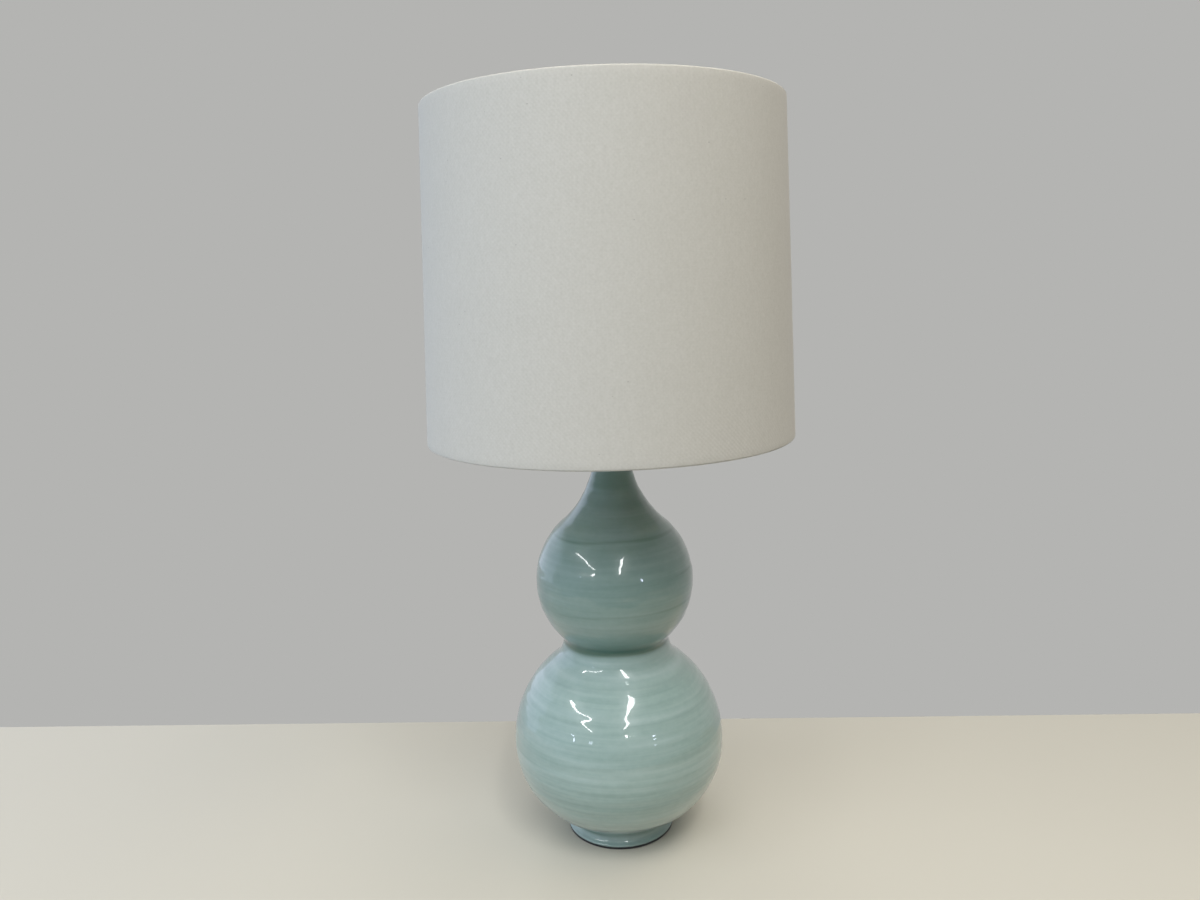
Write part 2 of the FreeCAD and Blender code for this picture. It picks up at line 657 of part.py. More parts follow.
def harp_saddle():
    """Bent steel strip under the socket; its two upright tongues hold the harp's legs."""
    body = new_body("harp_saddle", SADDLE_Z)
    out = s.harp_leg_offset + s.saddle_thickness / 2
    within = out - s.saddle_thickness
    flat = out - s.saddle_bend
    inner_bend = s.saddle_bend - s.saddle_thickness
    strip = [
        (-flat, 0),
        (flat, 0, s.saddle_bend, LEFT),
        (out, s.saddle_bend),
        (out, s.saddle_height),
        (within, s.saddle_height),
        (within, s.saddle_bend, inner_bend, RIGHT),
        (flat, s.saddle_thickness),
        (-flat, s.saddle_thickness, inner_bend, RIGHT),
        (-within, s.saddle_bend),
        (-within, s.saddle_height),
        (-out, s.saddle_height),
        (-out, s.saddle_bend, s.saddle_bend, LEFT),
    ]
    raised(body, trace(new_sketch(body, "Strip", "XZ_Plane"), strip), s.saddle_width, both_ways=True)
    shoulder = s.saddle_height - s.saddle_tip_height
    above = s.saddle_height + s.saddle_thickness
    tongues = new_sketch(body, "Tongues", "YZ_Plane")
    for hand in (1, -1):
        near, far = hand * (s.saddle_tip_width / 2), hand * s.saddle_width
        trace(tongues, [(near, shoulder), (far, shoulder), (far, above), (near, above)])
    raised(body, tongues, 3 * out, both_ways=True, kind="PartDesign::Pocket")
    hole = circles(new_sketch(body, "Hole", "XY_Plane"), 0, 0, rod_fit)
    raised(body, hole, 4 * s.saddle_thickness, both_ways=True, kind="PartDesign::Pocket")
    return body


def harp():
    """Wire loop round the bulb, from one saddle tongue to the other."""
    body = new_body("harp", HARP_Z)
    widening = s.harp_half_width - s.harp_leg_offset
    bow_arc = (widening * widening + s.harp_bow * s.harp_bow) / (4 * widening)
    middle = s.harp_leg_offset + widening / 2
    bow_middle, bow_top = s.harp_leg + s.harp_bow / 2, s.harp_leg + s.harp_bow
    shoulder = s.harp_height - s.harp_half_width
    path = [
        (s.harp_leg_offset, 0),
        (s.harp_leg_offset, s.harp_leg, bow_arc, RIGHT),
        (middle, bow_middle, bow_arc, LEFT),
        (s.harp_half_width, bow_top),
        (s.harp_half_width, shoulder, s.harp_half_width, LEFT),
        (0, s.harp_height, s.harp_half_width, LEFT),
        (-s.harp_half_width, shoulder),
        (-s.harp_half_width, bow_top, bow_arc, LEFT),
        (-middle, bow_middle, bow_arc, RIGHT),
        (-s.harp_leg_offset, s.harp_leg),
        (-s.harp_leg_offset, 0),
    ]
    line = trace(new_sketch(body, "Path", "XZ_Plane"), path, closed=False)
    section = circles(new_sketch(body, "Wire", "XY_Plane"), s.harp_leg_offset, 0, s.harp_wire)
    swept(body, section, line)
    return body


def harp_ferrules():
    """Sleeves that lock the legs onto the tongues; each slides up its leg."""
    bore = s.harp_wire + s.ferrule_clearance
    seat = HARP_Z - s.saddle_tip_height
    bodies = []
    for label, hand in (("harp_ferrule_left", -1), ("harp_ferrule_right", 1)):
        body = new_body(label, seat)
        section = circles(new_sketch(body, "Section", "XY_Plane"), 0, 0, bore, bore + s.ferrule_wall)
        tube = raised(body, section, s.ferrule_length)
        outer = (bore + s.ferrule_wall).value
        softened(body, tube, s.ferrule_rounding, lambda edge: is_ring(edge, outer))
        bind(body, "Placement.Base.x", hand * s.harp_leg_offset)
        bodies.append(body)
    return bodies


def is_ring(edge, radius):
    """Whether an edge is a full circle of that radius."""
    return edge.Closed and isinstance(edge.Curve, Part.Circle) and abs(edge.Curve.Radius - radius) < 1e-6


def harp_stud():
    """Block on the harp's top wire, with the shade's shoulder, its spigot and the threaded post."""
    body = new_body("harp_stud", STUD_Z)
    shoulder = s.harp_wire + s.stud_shoulder_height
    edge = s.stud_shoulder_height / 2
    spigot = s.hub_bore - s.pivot_clearance
    spigot_top = shoulder + s.hub_thickness - s.stud_spigot_inset
    post_top = shoulder + s.hub_thickness + s.stud_post_height
    tip = s.stud_post_radius / 4
    points = [
        (0, -s.stud_block_below),
        (s.stud_block_radius, -s.stud_block_below),
        (s.stud_block_radius, s.harp_wire),
        (s.stud_shoulder_radius, s.harp_wire),
        (s.stud_shoulder_radius, shoulder - edge, edge, LEFT),
        (s.stud_shoulder_radius - edge, shoulder),
        (spigot, shoulder),
        (spigot, spigot_top),
        (s.stud_post_radius, spigot_top),
        (s.stud_post_radius, post_top - tip),
        (s.stud_post_radius - tip, post_top),
        (0, post_top),
    ]
    turned(body, trace(new_sketch(body, "Profile", "XZ_Plane"), points))
    wire_way = body.newObject("PartDesign::SubtractiveTorus", "WireWay")
    plane = next(item for item in body.Origin.OriginFeatures if item.Role == "XZ_Plane")
    wire_way.AttachmentSupport = [(plane, "")]
    wire_way.MapMode = "FlatFace"
    bind(wire_way, "AttachmentOffset.Base.y", -s.harp_half_width)
    bind(wire_way, "Radius1", s.harp_half_width)
    bind(wire_way, "Radius2", s.harp_wire + s.fixed_gap)
    return body


def finial():
    """Ball finial that screws onto the post and holds the shade down."""
    ball_up = leg(s.finial_ball_radius, s.finial_neck_radius)
    middle = s.finial_ball_start + ball_up
    bore = s.stud_post_radius + s.pivot_clearance
    depth = s.stud_post_height + s.finial_bore_spare
    return lathe_part("finial", FINIAL_Z, [
        (bore, 0),
        (s.finial_foot_radius, 0),
        (s.finial_foot_radius, s.finial_foot_height, s.finial_foot_arc, RIGHT),
        (s.finial_neck_radius, s.finial_neck_height),
        (s.finial_neck_radius, s.finial_ball_start, s.finial_ball_radius, LEFT),
        (s.finial_ball_radius, middle, s.finial_ball_radius, LEFT),
        (0, middle + s.finial_ball_radius),
        (0, depth),
        (bore, depth),
    ])


# ---------------------------------------------------------------- socket and switch

def socket_cap():
    """Spun cap of the socket, screwed onto the rod and locked by a set screw."""
    inner = s.shell_radius + s.fit_gap
    outer = inner + s.socket_cap_wall
    body = lathe_part("socket_cap", SOCKET_Z, [
        (rod_fit, 0),
        (s.socket_hub_radius, 0),
        (s.socket_hub_radius, s.socket_hub_height - s.socket_cap_wall, s.socket_cap_arc, LEFT),
        (outer, s.socket_cap_bell),
        (outer, s.socket_cap_height),
        (inner, s.socket_cap_height),
        (inner, s.socket_cap_bell, s.socket_cap_arc - s.socket_cap_wall, RIGHT),
        (s.socket_hub_radius - s.socket_cap_wall / 2, s.socket_hub_height),
        (rod_fit, s.socket_hub_height),
    ])
    hole = new_sketch(body, "SetScrewHole", "XZ_Plane")
    circles(hole, 0, s.set_screw_height, s.set_screw_radius + s.thread_clearance)
    raised(body, hole, 2 * s.socket_hub_radius, kind="PartDesign::Pocket")
    return body


def cap_set_screw():
    """Headless screw in the back of the cap's hub."""
    screw = doc.addObject("Part::Cylinder", "cap_set_screw")
    bind(screw, "Radius", s.set_screw_radius)
    bind(screw, "Height", s.set_screw_length)
    screw.Placement = FreeCAD.Placement(FreeCAD.Vector(), FreeCAD.Rotation(FreeCAD.Vector(1, 0, 0), -90))
    bind(screw, "Placement.Base.y", rod_fit)
    bind(screw, "Placement.Base.z", SOCKET_Z + s.set_screw_height)
    return screw


def open_for_shaft(body, height, reach):
    """Cut the opening for the switch shaft in the front of a tube."""
    slot = circles(new_sketch(body, "ShaftOpening", "XZ_Plane"), 0, height, s.shell_slot_radius)
    cut = raised(body, slot, reach, kind="PartDesign::Pocket")
    cut.Reversed = True
    return body


def socket_shell():
    """Outer shell of the socket, with a bead below its mouth."""
    bead_top = s.shell_bead_height + s.shell_bead_length
    body = lathe_part("socket_shell", SHELL_Z, [
        (shell_bore, 0),
        (s.shell_radius, 0),
        (s.shell_radius, s.shell_bead_height, s.shell_bead_arc, LEFT),
        (s.shell_radius, bead_top),
        (s.shell_radius, s.shell_height),
        (shell_bore, s.shell_height),
    ])
    return open_for_shaft(body, SHAFT_Z - SHELL_Z, 2 * s.shell_radius)


def socket_liner():
    """Card tube that insulates the shell from the live parts."""
    body = ring_plate("socket_liner", BLOCK_Z, liner_radius - s.liner_wall, liner_radius, s.liner_height)
    return open_for_shaft(body, s.shaft_height, 2 * s.shell_radius)


def switch_block():
    """Moulded block with the switch inside: flats for the terminals and a bore for the shaft."""
    body = new_body("switch_block", BLOCK_Z)
    side = leg(block_radius, s.block_flat)
    section = [
        (s.block_flat, -side),
        (s.block_flat, side, block_radius, LEFT),
        (-s.block_flat, side),
        (-s.block_flat, -side, block_radius, LEFT),
    ]
    raised(body, trace(new_sketch(body, "Section", "XY_Plane"), section), s.block_height)
    bore = new_sketch(body, "ShaftBore", "XZ_Plane")
    circles(bore, 0, s.shaft_height, s.shaft_radius + s.shaft_clearance)
    shaft_way = raised(body, bore, block_radius + s.block_gap, kind="PartDesign::Pocket")
    shaft_way.Reversed = True
    screws = new_sketch(body, "TerminalHoles", "YZ_Plane")
    circles(screws, 0, s.terminal_height, s.terminal_shank_radius + s.thread_clearance)
    raised(body, screws, 3 * s.block_flat, both_ways=True, kind="PartDesign::Pocket")
    return body


def terminal_screws():
    """Two binding screws, one in each flat of the block."""
    pieces = []
    for hand in (1, -1):
        inner = hand * (s.block_flat - s.terminal_shank_length)
        outer = hand * s.block_flat
        cylinders = (
            (s.terminal_shank_radius, s.terminal_shank_length, inner),
            (s.terminal_head_radius, s.terminal_head_height, outer),
        )
        for radius, length, start in cylinders:
            cylinder = doc.addObject("Part::Cylinder", "ScrewPart")
            bind(cylinder, "Radius", radius)
            bind(cylinder, "Height", length)
            turn = FreeCAD.Rotation(FreeCAD.Vector(0, 1, 0), hand * 90)
            cylinder.Placement = FreeCAD.Placement(FreeCAD.Vector(), turn)
            bind(cylinder, "Placement.Base.x", start)
            bind(cylinder, "Placement.Base.z", BLOCK_Z + s.terminal_height)
            pieces.append(cylinder)
    group = doc.addObject("Part::MultiFuse", "terminal_screws")
    group.Shapes = pieces
    return group


def screw_shell():
    """Metal shell that takes the bulb's screw base, on the block."""
    outer = screw_bore + s.screw_shell_wall
    return lathe_part("screw_shell", CONTACT_Z, [
        (outer - s.screw_shell_flange, 0),
        (outer, 0),
        (outer, s.screw_shell_height),
        (screw_bore, s.screw_shell_height),
        (screw_bore, s.screw_shell_wall),
        (outer - s.screw_shell_flange, s.screw_shell_wall),
    ])


def centre_contact():
    """Sprung strip that meets the bulb's tip."""
    body = new_body("centre_contact", CONTACT_Z)
    slope = s.contact_thickness * 2
    low, high = s.contact_thickness, s.contact_height
    right = [
        (s.contact_foot, 0),
        (s.contact_foot, low),
        (s.contact_crest + slope, low),
        (s.contact_crest, high),
    ]
    left = [(-x, z) for x, z in right[::-1]]
    under = [
        (-(s.contact_crest + slope / 2), 0),
        (-(s.contact_crest - slope / 2), high - low),
        (s.contact_crest - slope / 2, high - low),
        (s.contact_crest + slope / 2, 0),
    ]
    strip = trace(new_sketch(body, "Strip", "XZ_Plane"), right + left + under)
    raised(body, strip, s.contact_width, both_ways=True)
    return body


def face_front(body):
    """Turn a piece that was modelled upright so that it points to the front."""
    turn = FreeCAD.Rotation(FreeCAD.Vector(1, 0, 0), 90)
    body.Placement = FreeCAD.Placement(FreeCAD.Vector(), turn)
    bind(body, "Placement.Base.z", SHAFT_Z)
    return body


def switch_shaft():
    """Steel shaft of the switch, modelled upright from the lamp's axis."""
    body = new_body("switch_shaft")
    profile = [
        (0, s.shaft_inner_end),
        (s.shaft_radius, s.shaft_inner_end),
        (s.shaft_radius, s.shaft_reach),
        (0, s.shaft_reach),
    ]
    turned(body, trace(new_sketch(body, "Profile", "XZ_Plane"), profile))
    return face_front(body)


def switch_knob():
    """Turn knob: a round collar and a flat paddle for finger and thumb."""
    body = new_body("switch_knob")
    start = s.shell_radius + s.knob_gap
    collar_end = start + s.knob_collar_length
    neck = s.knob_collar_radius - s.knob_rounding
    shoulder, end = start + s.knob_shoulder, start + s.knob_length
    bulge = end - shoulder
    end_arc = (s.knob_half_width * s.knob_half_width + bulge * bulge) / (2 * bulge)
    paddle = trace(new_sketch(body, "Paddle", "XZ_Plane"), [
        (-neck, collar_end - 2 * s.knob_rounding),
        (neck, collar_end - 2 * s.knob_rounding),
        (s.knob_half_width, shoulder, end_arc, LEFT),
        (0, end, end_arc, LEFT),
        (-s.knob_half_width, shoulder),
    ])
    pad = raised(body, paddle, s.knob_thickness, both_ways=True)
    face = (s.knob_thickness / 2).value
    softened(body, pad, s.knob_rounding, lambda edge: on_broad_face(edge, face))
    bore = s.shaft_radius + s.fixed_gap
    depth = s.shaft_reach + s.fixed_gap
    rim = s.knob_collar_radius
    collar = [(0, start), (rim, start), (rim, collar_end), (0, collar_end)]
    turned(body, trace(new_sketch(body, "Collar", "XZ_Plane"), collar))
    hole = [(0, start), (bore, start), (bore, depth), (0, depth)]
    turned(body, trace(new_sketch(body, "Bore", "XZ_Plane"), hole), "PartDesign::Groove")
    return face_front(body)


def on_broad_face(edge, face):
    """Whether an edge bounds one of the paddle's two broad faces."""
    box = edge.BoundBox
    return box.YLength < 1e-6 and abs(abs(box.YMin) - face) < 1e-6


# ---------------------------------------------------------------- bulb

def bulb():
    """Screw bulb: glass, metal base, black glass insulator and tip contact."""
    base_bore = s.bulb_base_radius - s.bulb_base_wall
    lip = s.bulb_insulator_radius + s.fit_gap
    base = lathe_part("bulb_base", BULB_Z, [
        (lip, s.bulb_base_bottom),
        (s.bulb_base_radius - s.bulb_base_wall, s.bulb_base_bottom, s.bulb_base_wall, LEFT),
        (s.bulb_base_radius, s.bulb_base_bottom + s.bulb_base_wall),
        (s.bulb_base_radius, s.bulb_base_top),
        (base_bore, s.bulb_base_top),
        (base_bore, s.bulb_base_bottom + s.bulb_base_wall),
        (lip, s.bulb_base_bottom + s.bulb_base_wall),
    ])
    insulator = lathe_part("bulb_insulator", BULB_Z, [
        (0, s.bulb_tip_height),
        (s.bulb_tip_radius + s.bulb_base_wall, s.bulb_tip_height),
        (s.bulb_insulator_radius, s.bulb_base_bottom),
        (s.bulb_insulator_radius, s.bulb_base_bottom + s.bulb_base_wall),
        (0, s.bulb_base_bottom + s.bulb_base_wall),
    ])
    tip = lathe_part("bulb_tip", BULB_Z, [
        (0, 0),
        (s.bulb_tip_radius - s.bulb_base_wall, 0, s.bulb_base_wall, LEFT),
        (s.bulb_tip_radius, s.bulb_base_wall),
        (s.bulb_tip_radius, s.bulb_tip_height),
        (0, s.bulb_tip_height),
    ])
    return [bulb_glass(), base, insulator, tip]


def bulb_glass():
    """Blown globe and neck, as one thin shell."""
    arc_offset = s.bulb_neck_radius + s.bulb_neck_arc
    reach = s.bulb_globe_radius + s.bulb_neck_arc
    down = leg(reach, arc_offset)
    touch = s.bulb_globe_radius / reach
    inner_globe = s.bulb_globe_radius - s.glass_wall
    inner_touch = inner_globe / reach
    inner_neck = s.bulb_neck_radius - s.glass_wall
    inner_arc = s.bulb_neck_arc + s.glass_wall
    start = s.bulb_globe_height - down
    return lathe_part("bulb_glass", BULB_Z, [
        (s.bulb_neck_radius, s.bulb_neck_start),
        (s.bulb_neck_radius, start, s.bulb_neck_arc, RIGHT),
        (arc_offset * touch, s.bulb_globe_height - down * touch, s.bulb_globe_radius, LEFT),
        (s.bulb_globe_radius, s.bulb_globe_height, s.bulb_globe_radius, LEFT),
        (0, s.bulb_globe_height + s.bulb_globe_radius),
        (0, s.bulb_globe_height + inner_globe, inner_globe, RIGHT),
        (inner_globe, s.bulb_globe_height, inner_globe, RIGHT),
        (arc_offset * inner_touch, s.bulb_globe_height - down * inner_touch, inner_arc, LEFT),
        (inner_neck, start),
        (inner_neck, s.bulb_neck_start),
    ])


# ---------------------------------------------------------------- shade

def rolled_rim(radius, level, way):
    """Linen round one wire ring, from the outer face to the hem and back; way is +1 at the top.

    The points run with the outline where way is +1, and against it where way is -1.
    """
    edge, cloth = s.linen_edge, s.linen_thickness
    turn = LEFT if way > 0 else RIGHT
    inner = radius - roll_width
    points = [
        (radius, level - way * edge, edge, turn),
        (radius - edge, level),
        (inner + edge, level, edge, turn),
        (inner, level - way * edge),
        (inner, level - way * s.linen_hem),
        (inner + cloth, level - way * s.linen_hem),
        (inner + cloth, level - way * edge, edge - cloth, other(turn)),
        (inner + edge, level - way * cloth),
        (radius - edge, level - way * cloth, edge - cloth, other(turn)),
        (radius - cloth, level - way * edge),
    ]
    return points


def reversed_way(points):
    """The same lines and arcs, walked the other way."""
    result = []
    for here, before in zip(points[::-1], points[-2::-1] + [()]):
        arc = before[2:]
        result.append(here[:2] + ((arc[0], other(arc[1])) if arc else ()))
    return result


def shade_linen():
    """Linen drum: the outer skin, turned in over both wire rings and notched round the arms."""
    body = new_body("shade_linen", HUB_Z)
    top = rolled_rim(shade_top_radius, shade_top, 1)
    bottom = reversed_way(rolled_rim(s.shade_bottom_radius, shade_bottom, -1))
    skin = turned(body, trace(new_sketch(body, "Profile", "XZ_Plane"), top + bottom))
    inner = shade_top_radius - roll_width
    notch = new_sketch(body, "Notch", "YZ_Plane")
    trace(notch, [
        (inner - s.linen_thickness, shade_top - s.linen_hem - s.linen_thickness),
        (inner + s.linen_thickness + s.shade_gap, shade_top - s.linen_hem - s.linen_thickness),
        (inner + s.linen_thickness + s.shade_gap, shade_top - s.notch_top),
        (inner - s.linen_thickness, shade_top - s.notch_top),
    ])
    cut = raised(body, notch, 2 * s.notch_half_width, both_ways=True, kind="PartDesign::Pocket")
    repeated(body, cut, ARM_COUNT)
    return body


def shade_panel():
    """Stiff translucent lining that the linen is laminated to."""
    outer_inset = s.linen_thickness + s.shade_gap
    inner_inset = outer_inset + s.panel_thickness
    top, bottom = shade_top - s.linen_edge, shade_bottom + s.linen_edge
    return lathe_part("shade_panel", HUB_Z, [
        (s.shade_bottom_radius - inner_inset, bottom),
        (s.shade_bottom_radius - outer_inset, bottom),
        (shade_top_radius - outer_inset, top),
        (shade_top_radius - inner_inset, top),
    ])


def shade_ring(label, radius, level):
    """Wire ring in one rim of the shade."""
    body = new_body(label, HUB_Z)
    turned(body, circles(new_sketch(body, "Wire", "XZ_Plane"), radius, level, s.ring_wire))
    return body


def spider_arms():
    """Three wires from the hub out and up to the top ring, the first one to the back."""
    body = new_body("spider_arms", HUB_Z)
    start = s.hub_radius + s.shade_gap
    level = s.hub_thickness / 2
    climb = top_ring_level - level
    slant = root(s.arm_run * s.arm_run + climb * climb)
    corner = top_ring_radius - s.arm_run
    short = s.ring_wire + s.shade_gap
    along, up = s.arm_run / slant, climb / slant
    bend_arc = s.arm_bend * (1 + along) / up
    path = [
        (start, level),
        (corner - s.arm_bend, level, bend_arc, LEFT),
        (corner + s.arm_bend * along, level + s.arm_bend * up),
        (top_ring_radius - short * along, top_ring_level - short * up),
    ]
    line = trace(new_sketch(body, "Path", "YZ_Plane"), path, closed=False)
    section = new_sketch(body, "Wire", "XZ_Plane")
    bind(section, "AttachmentOffset.Base.z", -start)
    circles(section, 0, level, s.ring_wire)
    repeated(body, swept(body, section, line), ARM_COUNT)
    return body


def shade():
    """Drum shade with its fitter."""
    bottom_level = shade_bottom + ring_rise
    return [
        shade_linen(),
        shade_panel(),
        shade_ring("shade_top_ring", top_ring_radius, top_ring_level),
        shade_ring("shade_bottom_ring", s.shade_bottom_radius - ring_inset, bottom_level),
        ring_plate("spider_hub", HUB_Z, s.hub_bore, s.hub_radius, s.hub_thickness),
        spider_arms(),
    ]


# ---------------------------------------------------------------- assembly, checks and export

def build():
    """Every piece of the lamp, from the table up."""
    return [
        base_felt(),
        ceramic_body(),
        cord_bushing(),
        *rod_and_bottom_hardware(),
        vase_cap(),
        neck_spacer(),
        harp_saddle(),
        hex_nut("top_nut", TOP_NUT_Z, s.top_nut_across_flats, s.top_nut_thickness),
        harp(),
        *harp_ferrules(),
        harp_stud(),
        finial(),
        socket_cap(),
        cap_set_screw(),
        socket_shell(),
        socket_liner(),
        switch_block(),
        terminal_screws(),
        screw_shell(),
        centre_contact(),
        switch_shaft(),
        switch_knob(),
        *bulb(),
        *shade(),
    ]


def check(pieces):
    """Stop if a feature failed, a cut removed nothing or a piece isn't a valid solid."""
    for item in doc.Objects:
        if {"Invalid", "Error"} & set(item.State):
            raise RuntimeError(f"{item.Label} did not compute: {item.State}")
        base = getattr(item, "BaseFeature", None)
        cuts = item.TypeId in ("PartDesign::Pocket", "PartDesign::Groove", "PartDesign::SubtractiveTorus")
        if cuts and base.Shape.Volume - item.Shape.Volume < 1e-3:
            raise RuntimeError(f"{item.Label} of {item.getParent().Label} cuts nothing")
    for piece in pieces:
        shape = piece.Shape
        if shape.isNull() or not shape.isValid() or not shape.Solids:
            raise RuntimeError(f"{piece.Label} is not a valid solid")


parts = build()
doc.recompute()
check(parts)
os.makedirs("parts", exist_ok=True)
for part in parts:
    part.Shape.exportStep(f"parts/{part.Label}.step")
print(len(parts), "pieces written")
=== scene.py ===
"""Double gourd table lamp: a celadon-glazed body under a linen drum shade.

Lengths in the classes are millimetres in the lamp's own frame: +Z up from the table, -Y the front, where
the switch knob points, and the harp in the XZ plane. Meshes are stored in metres.
"""

import json
import logging
from collections.abc import Iterable, Sequence
from dataclasses import dataclass, field
from enum import Enum

import bmesh
import bpy
import numpy as np
from bpy.types import Material, Mesh, Node, NodeSocket, NodeTree, Object
from mathutils import Matrix, Vector


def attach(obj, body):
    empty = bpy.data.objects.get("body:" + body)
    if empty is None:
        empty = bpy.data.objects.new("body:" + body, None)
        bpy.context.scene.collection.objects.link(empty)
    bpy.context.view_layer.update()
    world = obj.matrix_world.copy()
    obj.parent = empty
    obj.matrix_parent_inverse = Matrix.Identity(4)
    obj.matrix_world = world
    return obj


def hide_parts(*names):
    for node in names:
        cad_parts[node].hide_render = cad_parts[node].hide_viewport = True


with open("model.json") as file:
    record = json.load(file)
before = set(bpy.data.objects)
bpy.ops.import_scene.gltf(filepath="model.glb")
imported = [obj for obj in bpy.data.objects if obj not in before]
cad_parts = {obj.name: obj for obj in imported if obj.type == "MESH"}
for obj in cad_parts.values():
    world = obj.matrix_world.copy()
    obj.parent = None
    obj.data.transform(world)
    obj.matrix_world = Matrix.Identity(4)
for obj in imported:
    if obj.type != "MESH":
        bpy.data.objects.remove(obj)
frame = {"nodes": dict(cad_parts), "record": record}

LOG = logging.getLogger("double_gourd_lamp")
MM = 0.001
TURN = 2.0 * np.pi
CREASE = 38.0  # edges that bend more than this, in degrees, stay sharp
GRAIN_DEPTH = 0.0002  # depth of a fine grain's relief, in metres


class Body(Enum):
    """The rigid bodies that a piece can ride on."""

    LAMP = "lamp"
    SWITCH = "switch"
    THREAD = "bulb_thread"
    BULB = "bulb"
    SHADE = "shade"
    FINIAL = "finial"
    FERRULE_LEFT = "ferrule_left"
    FERRULE_RIGHT = "ferrule_right"


# ---------------------------------------------------------------- outlines and surfaces


def rounded(corners: Sequence[tuple[float, float, float]], closed: bool = False, steps: int = 5) -> np.ndarray:
    """Joins corners by straight runs and rounds each corner by its own radius.

    A rounding's centre lies on the corner's bisector, its radius over the sine of the half angle away, and its
    points turn evenly from one tangent point to the other.

    Args:
        corners: (across, up, radius) of each corner.
        closed: whether the last corner runs on to the first.
        steps: runs in each rounding.

    Returns:
        The outline's points, one row each.
    """
    data = np.asarray(corners, dtype=float)
    spots, radii = data[:, :2], data[:, 2].copy()
    before, after = np.roll(spots, 1, axis=0) - spots, np.roll(spots, -1, axis=0) - spots
    if not closed:
        before[0], after[-1] = -after[0], -before[-1]
        radii[[0, -1]] = 0.0
    before /= np.linalg.norm(before, axis=1, keepdims=True)
    after /= np.linalg.norm(after, axis=1, keepdims=True)
    half = np.arccos(np.clip((before * after).sum(axis=1), -1.0, 1.0)) / 2.0
    straight = half > np.pi / 2 - 1e-3
    half = np.where(straight, np.pi / 4, half)
    radii = np.where(straight, 0.0, radii)
    bisector = before + after
    length = np.linalg.norm(bisector, axis=1, keepdims=True)
    bisector = np.where(length > 1e-6, bisector / np.maximum(length, 1e-6), 0.0)
    centre = spots + bisector * (radii / np.sin(half))[:, None]
    reach = (radii / np.tan(half))[:, None]
    first, last = spots + before * reach - centre, spots + after * reach - centre
    swing = (np.pi - 2.0 * half)[:, None, None]
    share = np.linspace(0.0, 1.0, steps + 1)[None, :, None]
    arc = (np.sin((1 - share) * swing) * first[:, None] + np.sin(share * swing) * last[:, None]) / np.sin(swing)
    points = (centre[:, None] + arc).reshape(-1, 2)
    gap = np.linalg.norm(points - np.roll(points, 1, axis=0), axis=1)
    keep = gap > 1e-5
    keep[0] = not closed or keep[0]
    return points[keep]


def arc_points(centre: tuple[float, float], radius: float, start: float, end: float, steps: int) -> np.ndarray:
    """Points of a circular arc, evenly turned from one angle to the other, in degrees."""
    angle = np.radians(np.linspace(start, end, steps + 1))
    return np.stack([centre[0] + radius * np.cos(angle), centre[1] + radius * np.sin(angle)], axis=1)


def refined(outline: np.ndarray, step: float, closed: bool = False) -> np.ndarray:
    """Adds points along an outline's long runs, so that none is longer than the step.

    The outline is read at the union of its own arc lengths and an even series of them.

    Args:
        outline: the outline's points.
        step: longest run between its points, in millimetres.
        closed: whether the outline's end runs on to its start.

    Returns:
        The outline with the added points.
    """
    path = np.vstack([outline, outline[:1]]) if closed else outline
    along = np.concatenate([[0.0], np.cumsum(np.linalg.norm(np.diff(path, axis=0), axis=1))])
    even = np.linspace(0.0, along[-1], int(np.ceil(along[-1] / step)) + 1)
    spare = np.abs(even[:, None] - along[None, :]).min(axis=1) > step / 3
    stops = np.sort(np.concatenate([along, even[spare]]))
    points = np.stack([np.interp(stops, along, path[:, axis]) for axis in (0, 1)], axis=1)
    return points[:-1] if closed else points


def in_scene(name: str, data: bpy.types.ID) -> Object:
    """Makes an object of a mesh, a light or a camera, and puts it into the scene.

    Args:
        name: the object's name.
        data: what it shows.

    Returns:
        The new object.
    """
    made = bpy.data.objects.new(name, data)
    bpy.context.scene.collection.objects.link(made)
    return made


